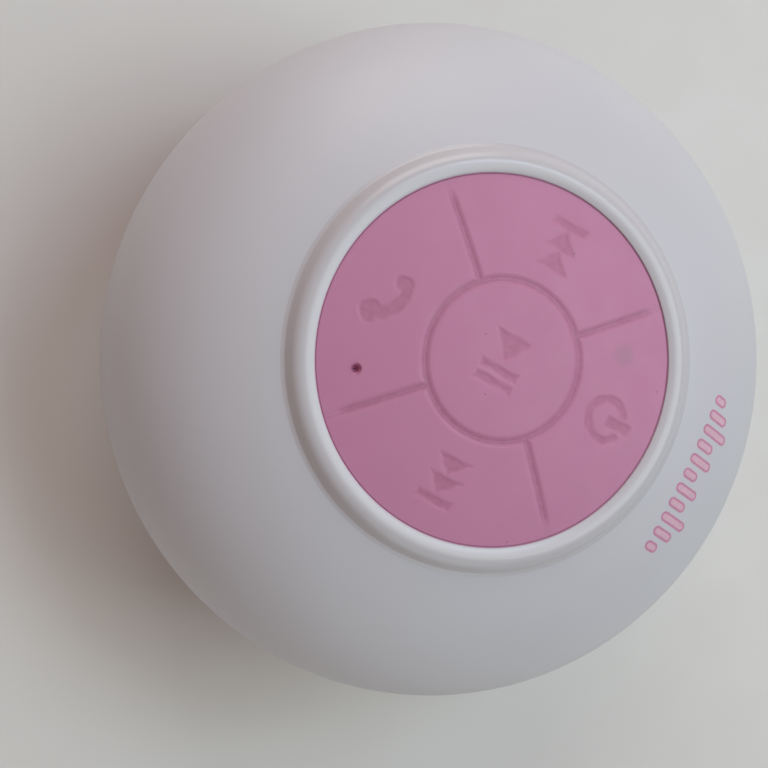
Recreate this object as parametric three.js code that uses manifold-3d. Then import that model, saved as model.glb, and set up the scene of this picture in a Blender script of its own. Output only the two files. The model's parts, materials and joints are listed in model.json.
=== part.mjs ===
// Shower speaker: a round, water-resistant wireless speaker that holds on to tiles by a suction cup.
// Units are millimetres. +Z points out of the keypad, away from the wall, and +Y towards the power key.
// The origin is the centre of the suction cup's flat rim, where the speaker meets the wall.

import * as THREE from "three";
import { mergeVertices } from "three/addons/utils/BufferGeometryUtils.js";
import Module from "manifold-3d";

const wasm = await Module();
wasm.setup();

// ---------------------------------------------------------------- driving dimensions

const gap = 0.3; // clearance between pieces that meet
const roundSegments = 40; // facets round the housing
const smallSegments = 12; // facets round screws, plungers and other small parts

// Housing
const bodyRadius = 43;
const wall = 2.2;
const backZ = 10; // flat back of the housing
const backRadius = 30; // where the flat back turns into the shoulder
const equatorZ = 28; // widest level
const seamZ = 24; // parting line between the front and rear shells
const domeHeight = 24.3; // front dome above the equator
const domeExponent = 2.4;
const bowlExponent = 2.6;

// Keypad and bezel
const keypadRadius = 21.4;
const keypadRimZ = 50.4;
const keypadCurve = 100; // radius of the keypad's domed face
const bezelInnerRadius = keypadRadius + gap;
const bezelTopZ = 51.15;
const bezelFootRadius = 24.4;
const bezelSkirtRadius = 23.2;
const grooveRadius = 9.3; // circle round the middle key
const grooveHalfWidth = 0.5;
const grooveDepth = 0.5;
const keyThicknessBelowRim = 2.1;
const keyTravel = 0.6;
const keyCentre = 15.2; // distance of the outer keys' actuators from the axis
const actuatorRadius = 1.4;

// Electronics
const boardRadius = 29.5;
const boardThickness = 1.2;
const boardTopZ = 43.8;
const switchSize = 4.6;
const switchHeight = 1.4;
const plungerRadius = 1;
const microphone = { place: [8.8, -14.6], radius: 2, height: 1, holeRadius: 0.6 };
const led = { place: [-7.8, 13.2], width: 2, depth: 1.2, height: 0.8 };
const wirelessModule = { x: -6, y: -16.5, width: 14, depth: 10, height: 2.2 };
const amplifier = { x: 8, y: 16, width: 6, depth: 5, height: 1.6 };
const capacitor = { x: 8.5, y: -17, radius: 3, height: 5.4 };
const batterySocket = { x: 19.5, y: -7 };
const speakerSocket = { x: -19.5, y: 7 };
const socketSize = { width: 4.5, depth: 6, height: 3.6 };
const leadRadius = 0.8;

// Loudspeaker driver, facing the wall
const driverRadius = 20;
const driverFlangeZ = 15;
const driverGasketHeight = 0.8;
const basketDepth = 8.4;
const coilRadius = 5.3;
const coneDepth = 4.2; // leaves room for the cone's travel below the spider
const topPlate = { radius: 12.4, thickness: 1.5 };
const magnet = { radius: 14, thickness: 4.5 };
const yoke = { radius: 13.2, thickness: 1.5 };

// Battery
const pad = { length: 22, width: 15, thickness: 0.8 };
const cell = { length: 30, width: 20, thickness: 5.2, corner: 2 };
const guard = { thickness: 1, halfWidth: 8, margin: 0.6 };

// Charging port, on the -Y side of the rear shell
const portZ = 17.5;
const portSeatY = -38.5; // flat floor of the port pocket
const pocket = { low: -7.8, high: 10.8, height: 7.2 };
const flap = { low: -7.4, high: 7.4, height: 6.6 };
const hinge = { x: 8.6, y: portSeatY - 2.1 };
const portMouth = { width: 8.6, height: 3.4, sheet: 0.4, innerY: -31.6 };
const portTongue = { halfWidth: 2.6, halfHeight: 0.3, innerY: -32, outerY: -36 };
const portPlug = { width: 6.4, height: 1.7, depth: 1.6 };
const chargeBoard = { halfWidth: 6, thickness: 1, innerY: -25.5, outerY: -32.7, topZ: portZ - 1.7 };

// Suction cup
const cupRadius = 30.4;
const cupHollowRadius = 27.6;
const cupHollowHeight = 5.8;
const cupNeckRadius = 9.5;
const cupScrewWell = { radius: 4.6, topZ: 7 };

// Screws
const caseScrew = {
  circle: 34, headRadius: 2.2, headHeight: 1.5, shankRadius: 1.1, headBottomZ: 12.2, tipZ: 26,
};
const boardScrew = { circle: 27.2, headRadius: 1.9, headHeight: 1.3, shankRadius: 0.9 };
const cupScrew = { headRadius: 4, headHeight: 1.4, shankRadius: 1.5, headBottomZ: 5.3, tipZ: 12.6 };
const pilotClearance = 0.3; // a pilot hole's or clearance hole's radius over its screw's

// ---------------------------------------------------------------- levels worked out from them

const keyBottomZ = keypadRimZ - keyThicknessBelowRim;
const webTopZ = keyBottomZ - keyTravel - gap;
const webThickness = 0.7;
const webBottomZ = webTopZ - webThickness;
const plateTopZ = webBottomZ - gap;
const plateThickness = 0.6;
const plateBottomZ = plateTopZ - plateThickness;
const onBoardZ = boardTopZ + gap;
const boardBottomZ = boardTopZ - boardThickness;
const underBoardZ = boardBottomZ - gap;
const switchTopZ = onBoardZ + switchHeight;
const plungerTopZ = plateTopZ - 0.2;
const plungerTravel = keyTravel / 2;
const actuatorBottomZ = plungerTopZ + keyTravel - plungerTravel + 0.05; // never quite meets the plunger
const shellHoleRadius = bezelSkirtRadius + gap;
const collarRadius = shellHoleRadius + 1.5;
const rearFloorZ = backZ + wall;
const driverLedgeZ = driverFlangeZ - driverGasketHeight - 2 * gap;
const basketTopZ = driverFlangeZ + basketDepth;
const topPlateZ = basketTopZ + gap;
const magnetZ = topPlateZ + topPlate.thickness + gap;
const yokeZ = magnetZ + magnet.thickness + gap;
const yokeTopZ = yokeZ + yoke.thickness;
const padBottomZ = yokeTopZ + gap;
const cellBottomZ = padBottomZ + pad.thickness + gap;
const cellTopZ = cellBottomZ + cell.thickness;
const guardStartX = cell.length / 2 + gap;
const guardEndX = guardStartX + guard.thickness;
const socketBottomZ = underBoardZ - socketSize.height;

// ---------------------------------------------------------------- materials

function plastic(color, roughness = 0.5) {
  return new THREE.MeshStandardMaterial({ color, roughness, metalness: 0 });
}

function metal(color, roughness = 0.35) {
  return new THREE.MeshStandardMaterial({ color, roughness, metalness: 1 });
}

const shellWhite = plastic(0xdfdce0, 0.42);
const bezelWhite = plastic(0xe6e4e8, 0.22);
const pinkSilicone = plastic(0xc586a8, 0.62);
const boardGreen = plastic(0x1f5a3a, 0.45);
const blackPlastic = plastic(0x1b1b1d, 0.5);
const creamPlastic = plastic(0xe8e2d0, 0.5);
const foamGrey = plastic(0x4a4a4d, 0.95);
const coneBlack = plastic(0x17171a, 0.7);
const spiderTan = plastic(0xb98a4a, 0.9);
const copper = metal(0xb4703a, 0.4);
const steel = metal(0xb9bcc0, 0.3);
const ferrite = plastic(0x2c2b2d, 0.65);
const batterySilver = metal(0xa9adb2, 0.45);
const leadRed = plastic(0xa01e1e, 0.5);
const ledClear = plastic(0xe9f0f5, 0.15);

// ---------------------------------------------------------------- geometry helpers

const speaker = new THREE.Group();

function add(name, geometry, material) {
  const mesh = new THREE.Mesh(geometry, material);
  mesh.name = name;
  speaker.add(mesh);
  return mesh;
}

const v2 = (x, y) => new THREE.Vector2(x, y);

/** Solid or ring of revolution about Z from [radius, height] points. */
function turned(points, segments = roundSegments) {
  const outline = points.map(([radius, height]) => v2(radius, height));
  const onAxis = points[0][0] === 0 && points.at(-1)[0] === 0;
  if (!onAxis) outline.push(outline[0].clone());
  return new THREE.LatheGeometry(outline, segments).rotateX(Math.PI / 2);
}

/** Upright cylinder between two levels. */
function post(radius, bottom, top, segments = smallSegments) {
  return turned([[0, bottom], [radius, bottom], [radius, top], [0, top]], segments);
}

/** Ring between two radii and two levels. */
function ring(inner, outer, bottom, top, segments = roundSegments) {
  return turned([[inner, bottom], [outer, bottom], [outer, top], [inner, top]], segments);
}

/** Box given by its low and high corners. */
function box([x0, y0, z0], [x1, y1, z1]) {
  const geometry = new THREE.BoxGeometry(x1 - x0, y1 - y0, z1 - z0);
  return geometry.translate((x0 + x1) / 2, (y0 + y1) / 2, (z0 + z1) / 2);
}

/** Box on a centre, standing between two levels. */
function block(x, y, width, depth, bottom, top) {
  return box([x - width / 2, y - depth / 2, bottom], [x + width / 2, y + depth / 2, top]);
}

/** Outline of a slot with round ends, its long way along X. */
function stadium(length, width) {
  const straight = (length - width) / 2;
  const shape = new THREE.Shape();
  shape.absarc(straight, 0, width / 2, -Math.PI / 2, Math.PI / 2);
  shape.absarc(-straight, 0, width / 2, Math.PI / 2, (3 * Math.PI) / 2);
  return shape;
}

/** Rectangle outline with round corners. */
function roundedRectangle(width, depth, corner) {
  const [x, y] = [width / 2 - corner, depth / 2 - corner];
  const shape = new THREE.Shape();
  shape.absarc(x, y, corner, 0, Math.PI / 2);
  shape.absarc(-x, y, corner, Math.PI / 2, Math.PI);
  shape.absarc(-x, -y, corner, Math.PI, (3 * Math.PI) / 2);
  shape.absarc(x, -y, corner, (3 * Math.PI) / 2, 2 * Math.PI);
  return shape;
}

/** Outline raised between two levels. */
function raised(shape, bottom, top, curveSegments = 4) {
  const settings = { depth: top - bottom, bevelEnabled: false, curveSegments };
  return new THREE.ExtrudeGeometry(shape, settings).translate(0, 0, bottom);
}

/** Outline pushed along Y between two places, its own Y pointing up. */
function pushedAlongY(shape, x, z, nearWall, outside, curveSegments = 4) {
  const settings = { depth: Math.abs(outside - nearWall), bevelEnabled: false, curveSegments };
  const geometry = new THREE.ExtrudeGeometry(shape, settings).rotateX(Math.PI / 2);
  return geometry.translate(x, Math.max(nearWall, outside), z);
}

/** Round lead along a smooth curve through points. */
function lead(points, radius, steps) {
  const path = new THREE.CatmullRomCurve3(points.map((point) => new THREE.Vector3(...point)));
  const section = new THREE.Shape();
  section.absarc(0, 0, radius, 0, 2 * Math.PI);
  const settings = { steps, extrudePath: path, bevelEnabled: false, curveSegments: 4 };
  return new THREE.ExtrudeGeometry(section, settings);
}

/** Quarter of a superellipse about (centreRadius, centreZ), from one parameter angle to another. */
function quarterCurve(centreRadius, centreZ, reach, rise, exponent, from, to, steps) {
  const points = [];
  for (let step = 0; step <= steps; step += 1) {
    const angle = from + ((to - from) * step) / steps;
    const across = Math.max(Math.cos(angle), 0) ** (2 / exponent);
    const along = Math.max(Math.sin(angle), 0) ** (2 / exponent);
    points.push([centreRadius + reach * across, centreZ + rise * along]);
  }
  return points;
}

/** Parameter angle at which such a curve reaches a share of its rise. */
function angleAtRise(share, exponent) {
  return Math.asin(share ** (exponent / 2));
}

/** Parameter angle at which such a curve reaches a share of its reach. */
function angleAtReach(share, exponent) {
  return Math.acos(share ** (exponent / 2));
}

function solid(geometry) {
  const bare = geometry.index ? geometry.toNonIndexed() : geometry.clone();
  bare.deleteAttribute("normal");
  bare.deleteAttribute("uv");
  const merged = mergeVertices(bare, 1e-4);
  const mesh = new wasm.Mesh({
    numProp: 3,
    vertProperties: new Float32Array(merged.attributes.position.array),
    triVerts: new Uint32Array(merged.index.array),
  });
  return new wasm.Manifold(mesh);
}

function surfaceOf(manifold) {
  const mesh = manifold.getMesh();
  const geometry = new THREE.BufferGeometry();
  geometry.setAttribute("position", new THREE.BufferAttribute(mesh.vertProperties, 3));
  geometry.setIndex(new THREE.BufferAttribute(mesh.triVerts, 1));
  geometry.computeVertexNormals();
  return geometry;
}

/** One surface from a first geometry, with others joined to it and others cut from it. */
function built(first, joined, cut) {
  let result = solid(first);
  for (const geometry of joined) result = result.add(solid(geometry));
  for (const geometry of cut) result = result.subtract(solid(geometry));
  return surfaceOf(result);
}

/** The shared inside of two geometries. */
function common(first, second) {
  return surfaceOf(solid(first).intersect(solid(second)));
}

/** [x, y] at a distance from the axis, at an angle in degrees. */
function polar(radius, degrees) {
  const angle = THREE.MathUtils.degToRad(degrees);
  return [radius * Math.cos(angle), radius * Math.sin(angle)];
}

const diagonals = [45, 135, 225, 315];
const caseScrewPlaces = diagonals.map((degrees) => polar(caseScrew.circle, degrees));
const boardScrewPlaces = [30, 150, 270].map((degrees) => polar(boardScrew.circle, degrees));

// ---------------------------------------------------------------- housing outlines

/** The dome from the equator up to a radius, moved inwards by an inset. */
function domeCurve(inset, endRadius, steps) {
  const reach = bodyRadius - inset;
  const end = angleAtReach(endRadius / reach, domeExponent);
  return quarterCurve(0, equatorZ, reach, domeHeight - inset, domeExponent, 0, end, steps);
}

/** The bowl from a level below the equator down to the flat back, moved inwards by an inset. */
function bowlCurve(inset, startZ, steps) {
  const drop = equatorZ - backZ - inset;
  const start = angleAtRise((equatorZ - startZ) / drop, bowlExponent);
  const reach = bodyRadius - backRadius - inset;
  return quarterCurve(backRadius, equatorZ, reach, -drop, bowlExponent, start, Math.PI / 2, steps);
}

/** Solid inside of the bowl up to a level, moved inwards by an inset. */
function bowlBody(inset, topZ, steps = 5) {
  const curve = bowlCurve(inset, topZ, steps).reverse();
  return turned([[0, backZ + inset], ...curve, [0, topZ]]);
}

/** Solid inside of the dome, moved inwards by an inset and continued straight down to a level. */
function domeBody(inset, bottomZ) {
  const reach = bodyRadius - inset;
  const topZ = equatorZ + domeHeight - inset;
  return turned([[0, bottomZ], [reach, bottomZ], ...domeCurve(inset, 1, 6), [0, topZ]]);
}

// ---------------------------------------------------------------- front shell

function frontShell() {
  const seamBottomZ = seamZ + gap / 2;
  const [outerSeam] = bowlCurve(0, seamBottomZ, 1);
  const [innerSeam] = bowlCurve(wall, seamBottomZ, 1);
  const innerDome = domeCurve(wall, collarRadius, 6).reverse();
  const outline = [
    outerSeam,
    ...domeCurve(0, shellHoleRadius, 9),
    [shellHoleRadius, onBoardZ],
    [collarRadius, onBoardZ],
    ...innerDome,
    innerSeam,
  ];
  const caseBoss = { radius: 2.8, bottomZ: 20, pilotTopZ: equatorZ + 4 };
  const boardBoss = { radius: 2.5, bottomZ: onBoardZ, pilotTopZ: onBoardZ + 2.2 };
  const halfWayThroughWall = domeBody(wall / 2, caseBoss.bottomZ - 1);
  const boss = ({ radius, bottomZ }, [x, y]) =>
    common(post(radius, bottomZ, equatorZ + domeHeight).translate(x, y, 0), halfWayThroughWall);
  const pilot = ({ bottomZ, pilotTopZ }, { shankRadius }, [x, y]) =>
    post(shankRadius + pilotClearance, bottomZ - 1, pilotTopZ).translate(x, y, 0);
  return built(
    turned(outline),
    [
      ...caseScrewPlaces.map((place) => boss(caseBoss, place)),
      ...boardScrewPlaces.map((place) => boss(boardBoss, place)),
    ],
    [
      ...caseScrewPlaces.map((place) => pilot(caseBoss, caseScrew, place)),
      ...boardScrewPlaces.map((place) => pilot(boardBoss, boardScrew, place)),
    ],
  );
}

// ---------------------------------------------------------------- bezel and keypad

/** Ring that frames the keypad: a rounded bead, a lip over the shell's edge and a skirt. */
function bezelRing() {
  const inEdge = 0.45; // rounding at the keypad's side
  const crownRadius = bezelInnerRadius + inEdge;
  const [footReach, footDrop] = [bezelFootRadius - crownRadius, 1.3];
  const bead = quarterCurve(crownRadius, bezelTopZ - footDrop, footReach, footDrop, 2, 0, Math.PI / 2, 4);
  const rounding = quarterCurve(crownRadius, bezelTopZ - inEdge, -inEdge, inEdge, 2, 0, Math.PI / 2, 2);
  return turned([
    [bezelInnerRadius, webTopZ + gap],
    [bezelSkirtRadius, webTopZ + gap],
    [bezelSkirtRadius, bezelTopZ - footDrop - 0.1],
    ...bead,
    ...rounding.reverse().slice(1),
  ]);
}

/** Height of the keypad's face at a distance from the axis. */
function keypadFaceZ(radius) {
  return keypadRimZ + (keypadRadius ** 2 - radius ** 2) / (2 * keypadCurve);
}

/** Solid below the keypad's face, lowered by a depth. */
function belowKeypadFace(depth) {
  const face = [1, 0.7, 0.35].map((share) => [
    keypadRadius * share,
    keypadFaceZ(keypadRadius * share) - depth,
  ]);
  const bottom = webBottomZ - 1;
  return turned([[0, bottom], [keypadRadius, bottom], ...face, [0, keypadFaceZ(0) - depth]]);
}

function playPauseKey() {
  const radius = grooveRadius - grooveHalfWidth;
  const face = [1, 0.5].map((share) => [radius * share, keypadFaceZ(radius * share)]);
  return turned([
    [0, actuatorBottomZ],
    [actuatorRadius, actuatorBottomZ],
    [actuatorRadius, keyBottomZ],
    [radius, keyBottomZ],
    ...face,
    [0, keypadFaceZ(0)],
  ], 32);
}

/** Plan of a quarter-ring key whose sides run beside the diagonal grooves, its middle on +X. */
function quarterKeyPlan() {
  const inner = grooveRadius + grooveHalfWidth;
  const halfAngle = (radius) => Math.PI / 4 - Math.asin(grooveHalfWidth / radius);
  const shape = new THREE.Shape();
  shape.absarc(0, 0, keypadRadius, -halfAngle(keypadRadius), halfAngle(keypadRadius));
  shape.absarc(0, 0, inner, halfAngle(inner), -halfAngle(inner), true);
  return shape;
}

/** One of the four outer keys, its middle turned to an angle in degrees. */
function quarterKey(degrees) {
  const blank = raised(quarterKeyPlan(), keyBottomZ, keypadFaceZ(0) + 1, 10);
  const key = common(blank, belowKeypadFace(0));
  const actuator = post(actuatorRadius, actuatorBottomZ, keyBottomZ + gap).translate(keyCentre, 0, 0);
  return built(key, [actuator], []).rotateZ(THREE.MathUtils.degToRad(degrees));
}

const keyAngles = { power_key: 90, next_track_key: 0, previous_track_key: 180, phone_key: 270 };

/** The phone key has the microphone's hole right through it. */
function phoneKey() {
  const hole = post(microphone.holeRadius, webTopZ, keypadFaceZ(0), 10).translate(...microphone.place, 0);
  return built(quarterKey(keyAngles.phone_key), [], [hole]);
}

const switchPlaces = {
  play_pause: [0, 0],
  power: polar(keyCentre, keyAngles.power_key),
  next_track: polar(keyCentre, keyAngles.next_track_key),
  previous_track: polar(keyCentre, keyAngles.previous_track_key),
  phone: polar(keyCentre, keyAngles.phone_key),
};

/** Sheet that joins the keys, with the ribs that show as the floors of the grooves. */
function keypadWeb() {
  const ribHalfWidth = grooveHalfWidth - gap;
  const ribBottomZ = webTopZ - webThickness / 2;
  const ribTop = belowKeypadFace(grooveDepth);
  const circle = ring(grooveRadius - ribHalfWidth, grooveRadius + ribHalfWidth, ribBottomZ,
    keypadFaceZ(grooveRadius) - grooveDepth, 32);
  const straightRib = (degrees) =>
    common(box([grooveRadius, -ribHalfWidth, ribBottomZ], [keypadRadius, ribHalfWidth, keypadFaceZ(0)])
      .rotateZ(THREE.MathUtils.degToRad(degrees)), ribTop);
  const hole = (radius, place) =>
    post(radius, webBottomZ - 1, webTopZ + gap / 2).translate(...place, 0);
  const actuatorHoles = Object.values(switchPlaces).map((place) => hole(actuatorRadius + 2 * gap, place));
  return built(
    post(bezelSkirtRadius, webBottomZ, webTopZ, roundSegments),
    [circle, ...diagonals.map(straightRib)],
    [...actuatorHoles, hole(microphone.holeRadius + 0.1, microphone.place)],
  );
}

/** Rigid plate behind the keypad, standing on the main board by its rim. */
function backingPlate() {
  const rimWidth = 2;
  const rim = ring(bezelSkirtRadius - rimWidth, bezelSkirtRadius, onBoardZ, plateTopZ);
  const ledHoleRadius = 1.8;
  const hole = (radius, place) => post(radius, plateBottomZ - 1, plateTopZ + 1).translate(...place, 0);
  return built(
    post(bezelSkirtRadius, plateBottomZ, plateTopZ, roundSegments),
    [rim],
    [
      ...Object.values(switchPlaces).map((place) => hole(actuatorRadius + 0.8, place)),
      hole(microphone.radius + 0.2, microphone.place),
      hole(ledHoleRadius, led.place),
    ],
  );
}

function addKeypad() {
  add("bezel_ring", bezelRing(), bezelWhite);
  add("keypad_web", keypadWeb(), pinkSilicone);
  add("play_pause_key", playPauseKey(), pinkSilicone);
  add("power_key", quarterKey(keyAngles.power_key), pinkSilicone);
  add("next_track_key", quarterKey(keyAngles.next_track_key), pinkSilicone);
  add("previous_track_key", quarterKey(keyAngles.previous_track_key), pinkSilicone);
  add("phone_key", phoneKey(), pinkSilicone);
  add("keypad_backing_plate", backingPlate(), blackPlastic);
}

// ---------------------------------------------------------------- electronics

function mainBoard() {
  const holeRadius = boardScrew.shankRadius + pilotClearance + 0.1;
  const holes = boardScrewPlaces.map(([x, y]) =>
    post(holeRadius, boardBottomZ - 1, boardTopZ + 1).translate(x, y, 0));
  return built(post(boardRadius, boardBottomZ, boardTopZ, 32), [], holes);
}

/** Push switch: a box with a well that its plunger moves in. */
function addSwitch(name, [x, y]) {
  const wellFloorZ = onBoardZ + 0.35;
  const body = block(x, y, switchSize, switchSize, onBoardZ, switchTopZ);
  const well = post(plungerRadius + gap, wellFloorZ, switchTopZ + 1).translate(x, y, 0);
  add(`${name}_switch`, built(body, [], [well]), blackPlastic);
  const plungerBottomZ = wellFloorZ + plungerTravel + 0.1;
  const plunger = post(plungerRadius, plungerBottomZ, plungerTopZ).translate(x, y, 0);
  add(`${name}_plunger`, plunger, creamPlastic);
}

/** Pan-head screw pointing up: a domed head below, a shank above. */
function screw({ headRadius, headHeight, shankRadius, headBottomZ, tipZ }) {
  const seatZ = headBottomZ + headHeight;
  return turned([
    [0, headBottomZ],
    [headRadius * 0.7, headBottomZ + 0.1],
    [headRadius, headBottomZ + headHeight * 0.5],
    [headRadius, seatZ],
    [shankRadius, seatZ],
    [shankRadius, tipZ - shankRadius],
    [0, tipZ],
  ], 12);
}

/** Box that hangs under the main board. */
function hanging({ x, y, width, depth, height }) {
  return block(x, y, width, depth, underBoardZ - height, underBoardZ);
}

function addElectronics() {
  add("main_board", mainBoard(), boardGreen);
  for (const [name, place] of Object.entries(switchPlaces)) addSwitch(name, place);
  const microphoneTopZ = onBoardZ + microphone.height;
  const capsule = post(microphone.radius, onBoardZ, microphoneTopZ);
  add("microphone", capsule.translate(...microphone.place, 0), steel);
  const gasket = ring(0.7, microphone.radius - 0.1, microphoneTopZ + gap, plateTopZ, smallSegments);
  add("microphone_gasket", gasket.translate(...microphone.place, 0), foamGrey);
  const lamp = block(...led.place, led.width, led.depth, onBoardZ, onBoardZ + led.height);
  add("indicator_led", lamp, ledClear);
  add("bluetooth_module", hanging(wirelessModule), blackPlastic);
  add("amplifier_chip", hanging(amplifier), blackPlastic);
  const can = post(capacitor.radius, underBoardZ - capacitor.height, underBoardZ);
  add("capacitor", can.translate(capacitor.x, capacitor.y, 0), steel);
  add("battery_socket", hanging({ ...batterySocket, ...socketSize }), creamPlastic);
  add("speaker_socket", hanging({ ...speakerSocket, ...socketSize }), creamPlastic);
  const headBottomZ = boardBottomZ - gap - boardScrew.headHeight;
  boardScrewPlaces.forEach(([x, y], index) => {
    const fastener = screw({ ...boardScrew, headBottomZ, tipZ: onBoardZ + 1.9 });
    add(`board_screw_${index + 1}`, fastener.translate(x, y, 0), steel);
  });
}

// ---------------------------------------------------------------- loudspeaker driver and battery

/** Pressed frame: a flat flange, a sloping wall with four windows and a floor round the coil. */
function driverBasket() {
  const [flangeInner, wallFoot] = [driverRadius - 3.7, driverRadius - 2.6];
  const [floorOuter, floorInner, sheet] = [12.6, 7.5, 0.8];
  const frame = turned([
    [flangeInner, driverFlangeZ],
    [driverRadius, driverFlangeZ],
    [driverRadius, driverFlangeZ + 1],
    [wallFoot, driverFlangeZ + 1],
    [floorOuter, basketTopZ],
    [floorInner, basketTopZ],
    [floorInner, basketTopZ - sheet],
    [floorOuter - 0.6, basketTopZ - sheet],
    [flangeInner, driverFlangeZ + 0.9],
  ], 32);
  const windowHalfWidth = 4.5;
  const window = box(
    [floorInner + 0.5, -windowHalfWidth, driverFlangeZ + 2.2],
    [driverRadius, windowHalfWidth, basketTopZ - 2],
  );
  const windows = [0, 90, 180, 270].map((degrees) =>
    window.clone().rotateZ(THREE.MathUtils.degToRad(degrees)));
  return built(frame, [], windows);
}

/** Half-roll of thin rubber between the cone and the basket. */
function surround() {
  const [middle, outer, thickness] = [driverRadius - 5.4, 1.4, 0.35];
  const arc = (radius, from, to) => {
    const points = [];
    for (let step = 0; step <= 4; step += 1) {
      const angle = from + ((to - from) * step) / 4;
      points.push([middle + radius * Math.cos(angle), driverFlangeZ + 0.2 + radius * Math.sin(angle)]);
    }
    return points;
  };
  return turned([...arc(outer, -Math.PI, 0), ...arc(outer - thickness, 0, -Math.PI)], 32);
}

/** Corrugated disc that centres the coil. */
function spider() {
  const [inner, outer, level, thickness] = [coilRadius + 0.5, 11.5, basketTopZ - 2.1, 0.35];
  const ridges = 4;
  const wave = (index) => (index % 2 === 0 ? 0 : 0.4);
  const lower = Array.from({ length: ridges + 1 }, (_, index) => [
    inner + ((outer - inner) * index) / ridges,
    level + wave(index),
  ]);
  const upper = lower.map(([radius, height]) => [radius, height + thickness]).reverse();
  return turned([...lower, ...upper], 24);
}

function cone() {
  const [rimRadius, neckRadius, thickness] = [driverRadius - 7.1, coilRadius + 0.4, 0.5];
  const rimZ = driverFlangeZ + 0.2;
  return turned([
    [neckRadius, rimZ + coneDepth],
    [rimRadius, rimZ],
    [rimRadius, rimZ + thickness],
    [neckRadius, rimZ + coneDepth + thickness],
  ], 32);
}

/** Shallow cap that closes the coil's end, bulging towards the wall. */
function dustCap() {
  const [radius, thickness, bulge] = [coilRadius - 0.1, 0.35, 1.4];
  const rimZ = driverFlangeZ + coneDepth - 0.7;
  const face = [1, 0.6, 0].map((share) => [radius * share, rimZ - bulge * (1 - share ** 2)]);
  const back = face.map(([across, height]) => [across, height + thickness]).reverse();
  return turned([...face.reverse(), ...back.reverse()], 20);
}

function addDriver() {
  const gasket = ring(driverRadius - 2.7, driverRadius, driverLedgeZ + gap, driverFlangeZ - gap, 32);
  add("driver_gasket", gasket, foamGrey);
  add("driver_basket", driverBasket(), steel);
  add("driver_surround", surround(), coneBlack);
  add("driver_cone", cone(), coneBlack);
  add("dust_cap", dustCap(), coneBlack);
  add("driver_spider", spider(), spiderTan);
  const [coilWall, coilInGap] = [0.35, 2];
  const coil = ring(coilRadius - coilWall, coilRadius, driverFlangeZ + coneDepth, magnetZ + coilInGap, 32);
  add("voice_coil", coil, copper);
  const plateTop = topPlateZ + topPlate.thickness;
  add("driver_top_plate", ring(coilRadius + 0.4, topPlate.radius, topPlateZ, plateTop, 32), steel);
  const magnetRing = ring(coilRadius + 2, magnet.radius, magnetZ, magnetZ + magnet.thickness, 32);
  add("driver_magnet", magnetRing, ferrite);
  const [poleRadius, poleBottomZ] = [coilRadius - 0.8, topPlateZ - 0.5];
  add("driver_yoke", turned([
    [0, poleBottomZ],
    [poleRadius, poleBottomZ],
    [poleRadius, yokeZ],
    [yoke.radius, yokeZ],
    [yoke.radius, yokeTopZ],
    [0, yokeTopZ],
  ], 32), steel);
}

function addBattery() {
  add("battery_pad", block(0, 0, pad.length, pad.width, padBottomZ, padBottomZ + pad.thickness), foamGrey);
  const pouch = raised(roundedRectangle(cell.length, cell.width, cell.corner), cellBottomZ, cellTopZ, 3);
  add("battery_cell", pouch, batterySilver);
  add("battery_protection_board", box(
    [guardStartX, -guard.halfWidth, cellBottomZ + guard.margin],
    [guardEndX, guard.halfWidth, cellTopZ - guard.margin],
  ), boardGreen);
}

/** Each lead bends freely between its two ends, clear of what it passes. */
function addLeads() {
  const intoSocketZ = socketBottomZ - gap;
  const batteryLead = lead([
    [guardEndX + 0.4, -4, cellBottomZ + 2.4],
    [guardEndX + 2.6, -4.4, cellBottomZ + 1.6],
    [guardEndX + 4.6, -5.6, cellBottomZ + 2.2],
    [guardEndX + 3.8, -6.8, intoSocketZ - 1.6],
    [batterySocket.x, batterySocket.y, intoSocketZ],
  ], leadRadius, 14);
  const speakerLead = lead([
    [-15.6, 3.2, 22.4],
    [-18.2, 3.4, 23.6],
    [-20.8, 4.6, 28],
    [-20.6, 6.4, 33.6],
    [speakerSocket.x, speakerSocket.y, intoSocketZ],
  ], leadRadius, 18);
  const chargeLead = lead([
    [0, chargeBoard.innerY + 1.6, chargeBoard.topZ + gap],
    [0.4, chargeBoard.innerY + 1.4, chargeBoard.topZ + 4],
    [2.4, -25.6, 27],
    [4, -25.2, 34.5],
    [3, -24.6, underBoardZ],
  ], leadRadius, 22);
  add("battery_lead", batteryLead, leadRed);
  add("speaker_lead", speakerLead, leadRed);
  add("charge_lead", chargeLead, blackPlastic);
}

// ---------------------------------------------------------------- charging port

/** Slot-shaped prism along Y whose ends are given along X. */
function portPrism({ low, high, height }, nearWall, outside) {
  const shape = stadium(high - low, height);
  return pushedAlongY(shape, (low + high) / 2, portZ, nearWall, outside);
}

/** Silicone flap, flush with the housing, with a plug for the socket and a hinge strap. */
function portCover() {
  const seat = portSeatY - gap;
  const [strapHalfHeight, strapHalfThickness, knuckleRadius] = [1.6, 0.4, 0.7];
  const [bottom, top] = [portZ - strapHalfHeight, portZ + strapHalfHeight];
  const strap = box(
    [flap.high - 1, hinge.y - strapHalfThickness, bottom],
    [hinge.x, hinge.y + strapHalfThickness, top],
  );
  const knuckle = post(knuckleRadius, bottom, top).translate(hinge.x, hinge.y, 0);
  const outside = built(portPrism(flap, seat, -bodyRadius), [strap, knuckle], []);
  const plugShape = stadium(portPlug.width, portPlug.height);
  const plug = pushedAlongY(plugShape, 0, portZ, seat + portPlug.depth, seat - 0.5);
  return built(common(outside, bowlBody(0, seamZ)), [plug], []);
}

/** Pressed metal mouth of the charging socket, closed at the back. */
function chargePortShell() {
  const { width, height, sheet, innerY } = portMouth;
  const outerY = portSeatY + gap;
  const outer = pushedAlongY(stadium(width, height), 0, portZ, innerY, outerY);
  const hollow = stadium(width - 2 * sheet, height - 2 * sheet);
  return built(outer, [], [pushedAlongY(hollow, 0, portZ, innerY + 1, outerY - 1)]);
}

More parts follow.
